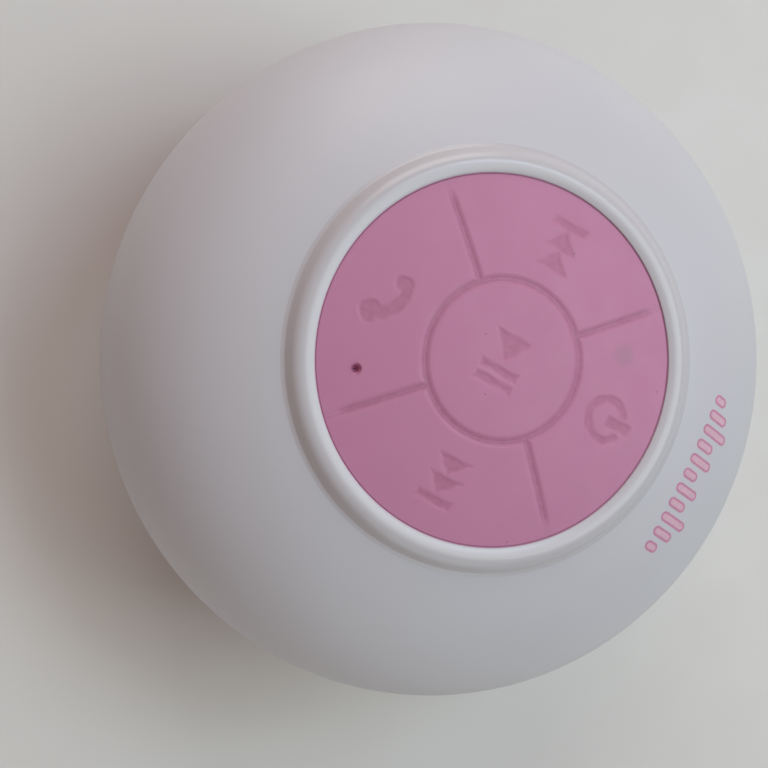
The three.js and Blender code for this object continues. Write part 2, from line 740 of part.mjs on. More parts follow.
function addChargingPort() {
  add("charge_port_shell", chargePortShell(), steel);
  add("charge_port_tongue", box(
    [-portTongue.halfWidth, portTongue.outerY, portZ - portTongue.halfHeight],
    [portTongue.halfWidth, portTongue.innerY, portZ + portTongue.halfHeight],
  ), blackPlastic);
  const boardTop = chargeBoard.topZ - gap;
  add("charge_board", box(
    [-chargeBoard.halfWidth, chargeBoard.outerY, boardTop - chargeBoard.thickness],
    [chargeBoard.halfWidth, chargeBoard.innerY, boardTop],
  ), boardGreen);
  add("port_cover", portCover(), pinkSilicone);
}

// ---------------------------------------------------------------- rear shell

/** Slots in the back, in a circle between the suction cup's neck and the driver. */
function soundSlots() {
  const [count, innerEnd, outerEnd, width] = [16, 10.3, 16, 2];
  const slot = raised(stadium(outerEnd - innerEnd, width), backZ - 1, rearFloorZ + 1, 3)
    .translate((innerEnd + outerEnd) / 2, 0, 0);
  return Array.from({ length: count }, (_, index) => slot.clone().rotateZ((2 * Math.PI * index) / count));
}

function rearShell() {
  const envelope = bowlBody(0, seamZ - gap / 2);
  const cavity = bowlBody(wall, seamZ + 1);
  const buried = rearFloorZ - 1; // posts start inside the wall that they stand on
  const driverLedge = ring(driverRadius - 3.5, driverRadius + 0.5, buried, driverLedgeZ);
  const cupBoss = post(4.5, buried, rearFloorZ + 1.2, 24);
  const screwPost = { radius: 3.9, topZ: 19.7 };
  const halfWayThroughWall = bowlBody(wall / 2, seamZ + 1);
  const screwPosts = caseScrewPlaces.map(([x, y]) =>
    common(post(screwPost.radius, buried, screwPost.topZ, 20).translate(x, y, 0), halfWayThroughWall));
  const portBlock = common(box([-12, -bodyRadius, buried], [12, portSeatY + 5.5, portZ + 4.5]), envelope);
  const boardPostTopZ = chargeBoard.topZ - chargeBoard.thickness - 2 * gap;
  const boardPost = box([-4, -31, buried], [4, -27.5, boardPostTopZ]);
  const seatZ = caseScrew.headBottomZ + caseScrew.headHeight + gap;
  const headWells = caseScrewPlaces.map(([x, y]) =>
    post(caseScrew.headRadius + 0.4, backZ - 1, seatZ, 20).translate(x, y, 0));
  const shankHoles = caseScrewPlaces.map(([x, y]) =>
    post(caseScrew.shankRadius + 0.4, backZ, screwPost.topZ + 1).translate(x, y, 0));
  const socketOpening = stadium(portMouth.width + 2 * gap, portMouth.height + 2 * gap);
  return built(
    surfaceOf(solid(envelope).subtract(solid(cavity))),
    [driverLedge, cupBoss, ...screwPosts, portBlock, boardPost],
    [
      ...soundSlots(),
      ...headWells,
      ...shankHoles,
      post(cupScrew.shankRadius + pilotClearance, backZ - 1, rearFloorZ + 3, 16),
      portPrism(pocket, portSeatY, -bodyRadius - 1),
      pushedAlongY(socketOpening, 0, portZ, -32, portSeatY - 1),
    ],
  );
}

function addHousing() {
  add("front_shell", frontShell(), shellWhite);
  add("rear_shell", rearShell(), shellWhite);
  const seal = { inner: 39.3, outer: 40.1, halfHeight: 1.5 };
  const sealRing = ring(seal.inner, seal.outer, seamZ - seal.halfHeight, seamZ + seal.halfHeight);
  add("shell_seal_ring", sealRing, foamGrey);
  caseScrewPlaces.forEach(([x, y], index) => {
    add(`case_screw_${index + 1}`, screw(caseScrew).translate(x, y, 0), steel);
  });
}

// ---------------------------------------------------------------- suction cup

/** Soft cup with a flat rim, a shallow hollow and a neck that is screwed to the back. */
function suctionCup() {
  const hollow = [0.45, 0.7, 0.9, 1].map((share) => [
    cupHollowRadius * share,
    cupHollowHeight * (1 - share ** 2.6),
  ]);
  const neckTopZ = backZ - gap;
  const rim = [
    [cupRadius - 0.3, 0],
    [cupRadius, 0.4],
    [cupRadius - 0.5, 1],
  ];
  const back = [
    [cupRadius - 3.4, 2.9],
    [20, 5.6],
    [cupNeckRadius + 2, 7.5],
  ];
  const neck = [
    [cupNeckRadius, 8.6],
    [cupNeckRadius, neckTopZ],
  ];
  const screwHoleRadius = cupScrew.shankRadius + pilotClearance;
  return turned([
    [screwHoleRadius, neckTopZ],
    [screwHoleRadius, cupScrewWell.topZ],
    [cupScrewWell.radius, cupScrewWell.topZ],
    [cupScrewWell.radius, cupHollowHeight],
    ...hollow,
    ...rim,
    ...back,
    ...neck,
  ]);
}

function addSuctionCup() {
  add("suction_cup", suctionCup(), pinkSilicone);
  add("suction_cup_screw", screw(cupScrew), steel);
}

// ---------------------------------------------------------------- the whole speaker

addHousing();
addKeypad();
addElectronics();
addDriver();
addBattery();
addLeads();
addChargingPort();
addSuctionCup();

export default speaker;
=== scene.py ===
"""Shower speaker: the looks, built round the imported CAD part.

Blender's lengths are metres. Shapes are drawn in millimetres, in the part's frame, and mesh_piece()
turns them into meshes. +Z points out of the keypad and +Y towards the power key.
"""
import json
import math

import bmesh
import bpy
import numpy as np
from mathutils import Matrix, Vector


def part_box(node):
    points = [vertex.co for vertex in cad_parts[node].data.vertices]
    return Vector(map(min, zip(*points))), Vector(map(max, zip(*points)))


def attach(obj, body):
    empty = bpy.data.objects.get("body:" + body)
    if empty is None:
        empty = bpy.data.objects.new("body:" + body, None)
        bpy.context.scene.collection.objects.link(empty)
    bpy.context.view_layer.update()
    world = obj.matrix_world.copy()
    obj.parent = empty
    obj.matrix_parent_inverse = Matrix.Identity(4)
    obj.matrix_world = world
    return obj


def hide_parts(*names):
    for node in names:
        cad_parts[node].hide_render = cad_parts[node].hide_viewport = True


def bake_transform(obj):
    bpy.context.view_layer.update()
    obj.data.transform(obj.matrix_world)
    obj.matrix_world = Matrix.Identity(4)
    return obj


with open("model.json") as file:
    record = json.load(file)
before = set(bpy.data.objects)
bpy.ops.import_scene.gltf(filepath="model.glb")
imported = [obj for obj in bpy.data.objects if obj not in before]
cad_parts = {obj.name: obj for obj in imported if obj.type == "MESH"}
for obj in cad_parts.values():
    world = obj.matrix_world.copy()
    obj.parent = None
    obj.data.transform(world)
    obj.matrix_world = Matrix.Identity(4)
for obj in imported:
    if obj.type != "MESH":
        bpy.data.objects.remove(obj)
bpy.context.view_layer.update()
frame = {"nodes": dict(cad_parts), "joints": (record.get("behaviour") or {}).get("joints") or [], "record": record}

MM = 0.001
TAU = 2 * math.pi


# --- sizes taken from the frame

def low(node):
    """Lowest corner of a CAD node, in millimetres."""
    return np.array(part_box(node)[0]) / MM


def high(node):
    """Highest corner of a CAD node, in millimetres."""
    return np.array(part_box(node)[1]) / MM


def centre_of(node):
    """Middle of a CAD node, in millimetres."""
    return (low(node) + high(node)) / 2


BODY_RADIUS = high("front_shell")[0]
SEAM_GAP = 0.3
SEAM_Z = high("rear_shell")[2] + SEAM_GAP / 2
BACK_Z = low("rear_shell")[2]
KEYPAD_RADIUS = high("next_track_key")[0]
CROWN_Z = high("play_pause_key")[2]
BEZEL_INNER = KEYPAD_RADIUS + 0.12  # the keys nearly fill the bezel
BEZEL_FOOT = high("bezel_ring")[0]
BEZEL_TOP = high("bezel_ring")[2]
BEZEL_BOTTOM = low("bezel_ring")[2]
WEB_BOTTOM, WEB_RADIUS = low("keypad_web")[2], high("keypad_web")[0]
CUP_RADIUS = high("suction_cup")[0]
CUP_TOP = high("suction_cup")[2]

# the housing's outline, as in the part's own design
WALL = 2.2
EQUATOR_Z = 28.0
DOME_HEIGHT, DOME_EXPONENT = 24.3, 2.4
BACK_RADIUS, BOWL_EXPONENT = 30.0, 2.6
SEAM_EDGE = 0.22  # rounding of the shells' outer edges at the seam

# the keypad's face
KEYPAD_CURVE = 112.0
GROOVE_RADIUS = 9.3
GROOVE_DEPTH = 0.14
GROOVE_FLOOR_HALF, GROOVE_MOUTH_HALF = 0.1, 0.74
RIB_HALF = 0.2  # half the width of the web's rib in a groove
HAIRLINE = 0.01  # clearance between a key and a rib
RIM_ROUND = 0.12
ICON_DEPTH = 0.09
ICON_EDGE_INSIDE, ICON_EDGE_OUTSIDE = 0.42, 0.2  # a symbol's soft edge runs between these
HOLE_SHADE = 1.6  # how much darker the painted shade in and round the microphone's hole is than a groove's


# --- shape tools

def smoothstep(edge0, edge1, value):
    """0 below edge0, 1 above edge1 and a smooth rise between."""
    share = np.clip((value - edge0) / (edge1 - edge0), 0, 1)
    return share * share * (3 - 2 * share)


def graded(*stretches):
    """Values from stretches of (start, end, step), each start being the last one's end."""
    values = []
    for start, end, step in stretches:
        count = max(1, round(abs(end - start) / step))
        values.extend(np.linspace(start, end, count, endpoint=False))
    values.append(stretches[-1][1])
    return np.array(values)


def superellipse(centre, reach, rise, exponent, first, last, steps):
    """Points of a quarter superellipse between two parameter angles."""
    angles = np.linspace(first, last, steps + 1)
    across = np.clip(np.cos(angles), 0, 1) ** (2 / exponent)
    along = np.clip(np.sin(angles), 0, 1) ** (2 / exponent)
    return np.column_stack([centre[0] + reach * across, centre[1] + rise * along])


def other_share(share, exponent):
    """One coordinate of a unit superellipse from the other."""
    return (1 - np.clip(share, 0, 1) ** exponent) ** (1 / exponent)


def dome_z(radius):
    """Height of the dome's surface at a distance from the axis."""
    return EQUATOR_Z + DOME_HEIGHT * other_share(radius / BODY_RADIUS, DOME_EXPONENT)


def dome_arc(end_radius, inset, steps):
    """Dome outline from the equator up to a radius."""
    reach = BODY_RADIUS - inset
    last = math.acos((end_radius / reach) ** (DOME_EXPONENT / 2))
    return superellipse((0, EQUATOR_Z), reach, DOME_HEIGHT - inset, DOME_EXPONENT, 0, last, steps)


def bowl_radius(z, inset=0.0):
    """Radius of the rear bowl at a level."""
    down = other_share((EQUATOR_Z - z) / (EQUATOR_Z - BACK_Z - inset), BOWL_EXPONENT)
    return BACK_RADIUS + (BODY_RADIUS - BACK_RADIUS - inset) * down


def bowl_z(radius):
    """Height of the bowl's outside at a distance from the axis."""
    outwards = (radius - BACK_RADIUS) / (BODY_RADIUS - BACK_RADIUS)
    return EQUATOR_Z - (EQUATOR_Z - BACK_Z) * other_share(outwards, BOWL_EXPONENT)


def bowl_arc(start_z, inset, steps):
    """Bowl outline from a level below the equator down to the flat back."""
    drop = EQUATOR_Z - BACK_Z - inset
    first = math.asin(((EQUATOR_Z - start_z) / drop) ** (BOWL_EXPONENT / 2))
    reach = BODY_RADIUS - BACK_RADIUS - inset
    return superellipse((BACK_RADIUS, EQUATOR_Z), reach, -drop, BOWL_EXPONENT, first, math.pi / 2, steps)


def rounded(corners, steps):
    """Outline through corners (x, y) or (x, y, radius), each radius cut as an arc."""
    points = []
    for index, corner in enumerate(corners):
        here = np.array(corner[:2], float)
        radius = corner[2] if len(corner) > 2 else 0
        if not radius:
            points.append(here)
            continue
        before = np.array(corners[index - 1][:2], float) - here
        after = np.array(corners[(index + 1) % len(corners)][:2], float) - here
        before /= np.linalg.norm(before)
        after /= np.linalg.norm(after)
        half = math.acos(np.clip(before @ after, -1, 1)) / 2
        tangent = radius / math.tan(half)
        bisector = (before + after) / np.linalg.norm(before + after)
        centre = here + bisector * radius / math.sin(half)
        start, end = here + before * tangent - centre, here + after * tangent - centre
        sweep = math.pi - 2 * half
        for share in np.linspace(0, 1, steps + 1):
            weight = np.array([math.sin((1 - share) * sweep), math.sin(share * sweep)]) / math.sin(sweep)
            points.append(centre + weight[0] * start + weight[1] * end)
    return np.array(points)


def grid_faces(rows, columns, close_rows, close_columns):
    """Quads of a grid of points, optionally joined round in either direction."""
    faces = []
    for row in range(rows if close_rows else rows - 1):
        for column in range(columns if close_columns else columns - 1):
            next_row, next_column = (row + 1) % rows, (column + 1) % columns
            faces.append((row * columns + column, row * columns + next_column,
                          next_row * columns + next_column, next_row * columns + column))
    return faces


def in_scene(name, data):
    """An object in the scene that shows a mesh, a light or a camera."""
    thing = bpy.data.objects.new(name, data)
    bpy.context.scene.collection.objects.link(thing)
    return thing


def mesh_piece(name, points_mm, faces, smooth_degrees):
    """A mesh object from points in millimetres, with its faces turned outwards."""
    mesh = bpy.data.meshes.new(name)
    mesh.from_pydata((np.asarray(points_mm) * MM).tolist(), [], faces)
    tidy_mesh(mesh, smooth_degrees)
    return in_scene(name, mesh)


def tidy_mesh(mesh, smooth_degrees, weld_mm=1e-4):
    """Welds doubles, turns faces outwards and shades smooth except at real edges."""
    work = bmesh.new()
    work.from_mesh(mesh)
    bmesh.ops.remove_doubles(work, verts=work.verts, dist=weld_mm * MM)
    bmesh.ops.dissolve_degenerate(work, edges=work.edges, dist=weld_mm * MM)
    bmesh.ops.recalc_face_normals(work, faces=work.faces)
    work.to_mesh(mesh)
    work.free()
    mesh.shade_smooth()
    mesh.set_sharp_from_angle(angle=math.radians(smooth_degrees))


def turned(name, outline, segments, smooth_degrees=35):
    """Body of revolution about Z from [radius, height] points, closed on itself or on the axis."""
    outline = np.asarray(outline, float)
    on_axis = outline[0][0] == 0 and outline[-1][0] == 0
    angles = np.linspace(0, TAU, segments, endpoint=False)
    points = np.stack([
        outline[:, :1] * np.cos(angles), outline[:, :1] * np.sin(angles),
        np.repeat(outline[:, 1:2], segments, axis=1)], axis=-1)
    faces = grid_faces(len(outline), segments, not on_axis, True)
    return mesh_piece(name, points.reshape(-1, 3), faces, smooth_degrees)


def moved(piece, place, turn=0.0):
    """The piece moved to a place in x and y, then turned about Z."""
    piece.data.transform(Matrix.Rotation(turn, 4, "Z") @ Matrix.Translation(Vector((*place, 0)) * MM))
    return piece


def rod(name, radius, bottom, top, place=(0, 0), segments=32):
    """Upright round bar."""
    outline = [(0, bottom), (radius, bottom), (radius, top), (0, top)]
    return moved(turned(name, outline, segments), place)


def lofted(name, loops, smooth_degrees=35, closed=False):
    """Skin over equal-length closed loops of points, capped at both ends or closed on itself."""
    loops = np.asarray(loops, float)
    rows, columns = loops.shape[:2]
    faces = grid_faces(rows, columns, closed, True)
    if not closed:
        faces.append(tuple(range(columns)))
        faces.append(tuple(range((rows - 1) * columns, rows * columns)))
    return mesh_piece(name, loops.reshape(-1, 3), faces, smooth_degrees)


def joined(name, pieces):
    """One object from several; the first keeps its place in the scene."""
    bpy.ops.object.select_all(action="DESELECT")
    for piece in pieces:
        piece.select_set(True)
    bpy.context.view_layer.objects.active = pieces[0]
    bpy.ops.object.join()
    pieces[0].name = name
    pieces[0].data.name = name
    return pieces[0]


def combined(piece, others, operation):
    """Adds solids to a piece, or cuts them out of it, and removes them."""
    for other in others:
        modifier = piece.modifiers.new(operation, "BOOLEAN")
        modifier.operation = operation
        modifier.solver = "EXACT"
        modifier.object = other
    graph = bpy.context.evaluated_depsgraph_get()
    mesh = bpy.data.meshes.new_from_object(piece.evaluated_get(graph))
    piece.modifiers.clear()
    piece.data = mesh
    for other in others:
        bpy.data.objects.remove(other)


def carved(piece, cutters, smooth_degrees=35):
    """Cuts the cutters out of a piece."""
    combined(piece, cutters, "DIFFERENCE")
    tidy_mesh(piece.data, smooth_degrees, weld_mm=1e-3)


def stadium(length, width, count=48):
    """Outline of a slot with round ends, long way along x, as count points."""
    straight, radius = (length - width) / 2, width / 2
    half_round = 2 * straight + math.pi * radius
    distance = np.linspace(0, 2 * half_round, count, endpoint=False)
    sign = np.where(distance < half_round, 1, -1)
    along = distance % half_round
    angle = math.pi / 2 + np.maximum(along - 2 * straight, 0) / radius
    x = np.maximum(straight - along, -straight) + radius * np.cos(angle)
    return np.column_stack([sign * x, sign * radius * np.sin(angle)])


def shrunk(length, width, inset, count):
    """The slot outline moved inwards, point for point; a negative inset moves it outwards."""
    outline = stadium(length, width, count)
    straight = (length - width) / 2
    spine = np.column_stack([np.clip(outline[:, 0], -straight, straight), np.zeros(count)])
    share = 1 - inset / (width / 2)
    return spine + (outline - spine) * share


def arc(centre, radius, first_degrees, last_degrees, steps):
    """Points of a circle's arc."""
    angles = np.radians(np.linspace(first_degrees, last_degrees, steps + 1))
    return np.column_stack([centre[0] + radius * np.cos(angles), centre[1] + radius * np.sin(angles)])


def circle(centre, radius, count=64):
    """Points evenly round a circle."""
    angles = np.linspace(0, TAU, count, endpoint=False)
    return np.column_stack([centre[0] + radius * np.cos(angles), centre[1] + radius * np.sin(angles)])


def at_height(flat, height):
    """A flat outline lifted to one height, or each point to its own."""
    return np.column_stack([flat, np.broadcast_to(height, len(flat))])


# --- material tools

COLOUR_A, COLOUR_B, MIXED_COLOUR = 6, 7, 2  # a Mix node's sockets when it mixes colours


def feed(socket, value):
    """Links an output to a socket, or sets the socket to a number, a vector or a colour."""
    if isinstance(value, bpy.types.NodeSocket):
        socket.id_data.links.new(value, socket)
    elif socket.type == "RGBA":
        socket.default_value = (*value, 1)
    else:
        socket.default_value = value


def add_node(tree, kind, *values, **named_values):
    """A shader node with its first sockets, and any named ones, fed."""
    node = tree.nodes.new(f"ShaderNode{kind}")
    for socket, value in zip(node.inputs, values):
        feed(socket, value)
    for name, value in named_values.items():
        feed(node.inputs[name], value)
    return node


class Finish:
    """A principled material with short ways to add nodes, its textures laid out in object space."""

    def __init__(self, name, colour, roughness, metallic=0.0):
        self.material = bpy.data.materials.new(name)
        self.material.use_nodes = True
        self.tree = self.material.node_tree
        self.shader = self.tree.nodes["Principled BSDF"]
        self.set(Base_Color=colour, Roughness=roughness, Metallic=metallic)
        self.place = self.add("TexCoord").outputs["Object"]

    def set(self, **inputs):
        """Sets or links the shader's sockets."""
        for name, value in inputs.items():
            feed(self.shader.inputs[name.replace("_", " ")], value)

    def add(self, kind, *values, **named_values):
        return add_node(self.tree, kind, *values, **named_values)

    def math(self, operation, first, second):
        node = self.add("Math", first, second)
        node.operation = operation
        return node.outputs[0]

    def stretched(self, scale):
        """Object coordinates stretched by three factors."""
        return self.add("Mapping", Vector=self.place, Scale=scale).outputs[0]

    def noise(self, size_mm, detail=3.0, roughness=0.55, vector=None):
        """Noise whose features are about size_mm across, from 0 to 1."""
        return self.add("TexNoise", Vector=vector or self.place, Scale=1 / (size_mm * MM),
                        Detail=detail, Roughness=roughness).outputs[0]

    def cells(self, size_mm):
        """(distance to the nearest cell point in cell sizes, a random value for each cell)."""
        cell = self.add("TexVoronoi", Vector=self.place, Scale=1 / (size_mm * MM))
        chance = self.add("SeparateColor", cell.outputs["Color"])
        return cell.outputs["Distance"], chance.outputs[0]

    def ramp(self, value, low_in, high_in, low_out=0.0, high_out=1.0):
        """Smooth step from low_out to high_out as the value goes from low_in to high_in."""
        node = self.add("MapRange", value, low_in, high_in, low_out, high_out)
        node.interpolation_type = "SMOOTHSTEP"
        return node.outputs[0]

    def mix(self, factor, first, second):
        """Colour mix; each side is a colour or an output."""
        node = self.add("Mix", factor)
        node.data_type = "RGBA"
        feed(node.inputs[COLOUR_A], first)
        feed(node.inputs[COLOUR_B], second)
        return node.outputs[MIXED_COLOUR]

    def shades(self, factor, colour, darker, lighter):
        """Between two shades of one colour."""
        return self.mix(factor, tinted(colour, darker), tinted(colour, lighter))

    def varied(self, size_mm, low_out, high_out, detail=3.0):
        """A value that wanders between two others in patches about size_mm across."""
        return self.ramp(self.noise(size_mm, detail), 0.3, 0.7, low_out, high_out)

    def specks(self, spacing_mm, size_share, share_kept):
        """1 in tiny round specks, 0 elsewhere: one in some cells of the given spacing."""
        distance, chance = self.cells(spacing_mm)
        near = self.ramp(distance, size_share * 0.6, size_share, 1.0, 0.0)
        kept = self.math("GREATER_THAN", chance, 1 - share_kept)
        return self.math("MULTIPLY", near, kept)

    def bumps(self, *layers):
        """Bump layers, each (height from 0 to 1, depth in millimetres)."""
        below = {}
        for height, depth_mm in layers:
            bump = self.add("Bump", Strength=1.0, Distance=depth_mm * MM, Height=height, **below)
            below = {"Normal": bump.outputs[0]}
        self.set(**below)


def tinted(colour, factor):
    """The colour made darker or lighter by a factor."""
    return tuple(min(1.0, channel * factor) for channel in colour)


def moulded_plastic(name, colour, roughness, peel_depth=0.0012, dust=0.06):
    """Injection-moulded plastic: faint flow clouds, orange peel, handling scuffs and a few specks."""
    finish = Finish(name, colour, roughness)
    clouds = finish.shades(finish.noise(14, detail=4), colour, 0.975, 1.02)
    dust_and_painted_shade = finish.specks(5.5, 0.03, dust)
    scratches = finish.noise(1.2, detail=6, roughness=0.7, vector=finish.stretched((1, 0.12, 1)))
    patches = finish.noise(9, detail=5)
    worn = finish.math("MULTIPLY", finish.ramp(scratches, 0.5, 0.8), finish.ramp(patches, 0.45, 0.7))
    scuffs = finish.math("ADD", finish.math("MULTIPLY", patches, 0.5), worn)
    finish.set(Base_Color=finish.mix(dust_and_painted_shade, clouds, tinted(colour, 0.35)),
               Roughness=finish.ramp(scuffs, 0.1, 1.2, roughness * 0.9, roughness * 1.18))
    peel, grain = finish.noise(1.1, detail=2), finish.noise(0.12, detail=2)
    finish.bumps((peel, peel_depth), (grain, peel_depth * 0.25))
    return finish


def silicone(name, colour, roughness, grain_mm=0.16, subsurface=0.12):
    """Matte moulded silicone: soft mottling, fine spark-eroded grain, clinging dust and grit."""
    finish = Finish(name, colour, roughness)
    mottle = finish.noise(6, detail=5, roughness=0.6)
    fine = finish.noise(0.7, detail=3)
    clouds = finish.shades(mottle, colour, 0.95, 1.045)
    faint_clouds = finish.shades(mottle, colour, 0.985, 1.02)
    base = finish.mix(finish.ramp(fine, 0.35, 0.75), clouds, faint_clouds)
    lint, lint_colour = finish.specks(2.6, 0.035, 0.1), (0.82, 0.74, 0.78)
    base = finish.mix(finish.math("MULTIPLY", lint, 0.35), base, lint_colour)
    grit = finish.math("MULTIPLY", finish.specks(1.5, 0.07, 0.09), 0.8)
    wear = finish.ramp(finish.noise(4, detail=6), 0.25, 0.75, roughness * 0.88, roughness * 1.12)
    finish.set(Base_Color=finish.mix(grit, base, tinted(colour, 0.3)), Roughness=wear,
               Subsurface_Weight=subsurface, Subsurface_Radius=(1.0, 0.35, 0.5),
               Subsurface_Scale=0.8 * MM, Specular_IOR_Level=0.42)
    finish.bumps((finish.noise(2.4, detail=2), 0.006), (finish.noise(grain_mm, detail=3), 0.0022))
    return finish


def bare_metal(name, colour, roughness, grain=(1, 0.06, 1)):
    """Plated or drawn metal: fine drawing lines and tarnish clouds."""
    finish = Finish(name, colour, roughness, metallic=1.0)
    tarnish = finish.ramp(finish.noise(3, detail=5), 0.35, 0.75)
    lines = finish.noise(0.35, detail=4, vector=finish.stretched(grain))
    finish.set(Base_Color=finish.mix(tarnish, colour, tinted(colour, 0.82)),
               Roughness=finish.ramp(lines, 0.3, 0.7, roughness * 0.75, roughness * 1.35))
    finish.bumps((lines, 0.002))
    return finish


def foam(name, colour):
    """Closed-cell foam: a field of small dimples."""
    finish = Finish(name, colour, 0.92)
    distance, chance = finish.cells(0.35)
    finish.set(Base_Color=finish.shades(chance, colour, 0.8, 1.3),
               Roughness=finish.ramp(distance, 0, 1, 0.98, 0.82))
    finish.bumps((distance, 0.08))
    return finish


def circuit_board(name, colour):
    """Solder mask over copper: raised tracks in a brick pattern, with tinned pads."""
    finish = Finish(name, colour, 0.35)
    tracks = {"Vector": finish.place, "Scale": 1 / (3 * MM), "Mortar Size": 0.05}
    line = finish.add("TexBrick", **tracks).outputs["Fac"]
    mask = finish.mix(line, colour, tinted(colour, 1.9))
    pads, tin = finish.specks(2.2, 0.16, 0.35), (0.62, 0.6, 0.55)
    finish.set(Base_Color=finish.mix(pads, mask, tin),
               Roughness=finish.varied(0.8, 0.28, 0.42))
    finish.bumps((line, 0.03), (finish.noise(0.3), 0.004))
    return finish


def woven(name, colour):
    """Fine cloth stiffened with resin: two crossing sets of threads."""
    finish = Finish(name, colour, 0.8)
    threads = []
    for axis in ("X", "Y"):
        wave = finish.add("TexWave", Vector=finish.place, Scale=1 / (1.6 * MM))
        wave.bands_direction = axis
        threads.append(wave.outputs["Fac"])
    weave = finish.math("MAXIMUM", *threads)
    finish.set(Base_Color=finish.shades(weave, colour, 0.55, 1.1),
               Roughness=finish.varied(1, 0.7, 0.9))
    finish.bumps((weave, 0.06))
    return finish


# --- colours (linear)

WHITE = (0.615, 0.62, 0.66)
BEZEL_WHITE = (0.588, 0.578, 0.61)
PINK = (0.562, 0.238, 0.392)
CUP_PINK = (0.56, 0.24, 0.39)
INDICATOR_GREY = (0.32, 0.24, 0.30)
# painted shade: the deep pink that the keypad's grooves, symbols and microphone hole are darkened towards
PAINTED_GROOVE_SHADE = (0.26, 0.02, 0.075)
PRINT_DEEP_PINK = (0.62, 0.27, 0.42)
PRINT_PALE_PINK = (0.74, 0.48, 0.58)
TABLE_WHITE = (0.72, 0.715, 0.69)


def indicator_shade(finish):
    """How much the indicator's grey shows through the silicone: most over its middle."""
    led = centre_of("indicator_led")
    flat = finish.stretched((1, 1, 0))
    shift = finish.add("VectorMath", flat, Vector((led[0], led[1], 0)) * MM)
    shift.operation = "SUBTRACT"
    length = finish.add("VectorMath", shift.outputs[0])
    length.operation = "LENGTH"
    raggedness = finish.ramp(finish.noise(1.2), 0, 1, -0.5 * MM, 0.5 * MM)
    distance = finish.math("ADD", length.outputs["Value"], raggedness)
    return finish.ramp(distance, 0.4 * MM, 1.9 * MM, 0.3, 0.0)


def keypad_silicone():
    """The keypad's silicone, greyed over the indicator, with painted shade where it is sunk."""
    finish = silicone("keypad_silicone", PINK, 0.56)
    base = finish.shader.inputs["Base Color"].links[0].from_socket
    base = finish.mix(indicator_shade(finish), base, INDICATOR_GREY)
    # painted shade: sunk grooves, symbols and the microphone's hole mixed towards a deep pink, more in some
    # patches than others
    sunk = finish.add("Attribute")
    sunk.attribute_name = "sunk"
    painted_shade_strength = finish.varied(0.8, 0.16, 0.28, detail=4)
    dust_and_painted_shade = finish.math("MULTIPLY", sunk.outputs["Fac"], painted_shade_strength)
    finish.set(Base_Color=finish.mix(dust_and_painted_shade, base, PAINTED_GROOVE_SHADE))
    return finish


def cup_silicone():
    """The suction cup's softer, glossier silicone, a little see-through at its thin rim."""
    finish = silicone("cup_silicone", CUP_PINK, 0.3, grain_mm=0.5, subsurface=0.35)
    finish.set(Coat_Weight=0.25, Coat_Roughness=0.2)
    return finish


def printing_ink(name, colour):
    """Pad-printed ink: slightly uneven cover and a satin skin."""
    finish = Finish(name, colour, 0.38)
    cover = finish.noise(0.5, detail=4)
    thin = finish.ramp(cover, 0.3, 0.7)
    finish.set(Base_Color=finish.shades(thin, colour, 0.94, 1.05),
               Roughness=finish.ramp(cover, 0.3, 0.7, 0.32, 0.46))
    finish.bumps((finish.noise(0.25), 0.002))
    return finish


SHELL = moulded_plastic("shell_plastic", WHITE, 0.5)
BEZEL = moulded_plastic("bezel_plastic", BEZEL_WHITE, 0.27, peel_depth=0.0008, dust=0.03)
KEYPAD = keypad_silicone()
CUP = cup_silicone()
COVER = silicone("cover_silicone", PINK, 0.5)
STEEL = bare_metal("plated_steel", (0.58, 0.58, 0.6), 0.28)
CONE = moulded_plastic("cone_film", (0.014, 0.014, 0.016), 0.5, peel_depth=0.004)
GOLD = bare_metal("gold_contact", (0.72, 0.5, 0.18), 0.25)

SLOT_FINISH = {
    "shell_white": SHELL,
    "bezel_gloss_white": BEZEL,
    "pink_silicone": KEYPAD,
    "bright_steel": STEEL,
    "cone_black": CONE,
    "black_plastic": moulded_plastic("black_plastic", (0.02, 0.02, 0.022), 0.45),
    "cream_plastic": moulded_plastic("natural_nylon", (0.74, 0.7, 0.58), 0.5),
    "black_foam": foam("grey_foam", (0.045, 0.045, 0.048)),
    "circuit_board": circuit_board("circuit_board", (0.012, 0.09, 0.035)),
    "spider_cloth": woven("spider_cloth", (0.42, 0.22, 0.07)),
    "copper_wire": bare_metal("copper_winding", (0.62, 0.24, 0.1), 0.35, grain=(0.1, 0.1, 4)),
    "ferrite": moulded_plastic("ferrite", (0.035, 0.034, 0.036), 0.62, peel_depth=0.01),
    "battery_foil": bare_metal("battery_foil", (0.56, 0.57, 0.6), 0.42, grain=(1, 1, 1)),
    "lead_red": silicone("lead_red", (0.3, 0.012, 0.012), 0.45),
    "lead_black": silicone("lead_black", (0.012, 0.012, 0.013), 0.45),
    "led_clear": moulded_plastic("led_resin", (0.72, 0.76, 0.8), 0.12),
}


def finish_cad_nodes():
    """Every CAD node gets the finish of its slot, whether or not a finer piece stands for it later."""
    slots = {row["node"]: row["material_slot"] for row in frame["record"]["subparts"]}
    for name, node in frame["nodes"].items():
        node.data.materials.clear()
        node.data.materials.append(SLOT_FINISH[slots[name]].material)


def placed(piece, body, finish, replaces=()):
    """Gives a finished piece its material and its body, and hides the CAD nodes that it stands for."""
    piece.data.materials.clear()
    piece.data.materials.append(finish.material)
    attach(piece, body)
    if replaces:
        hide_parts(*replaces)


# --- housing

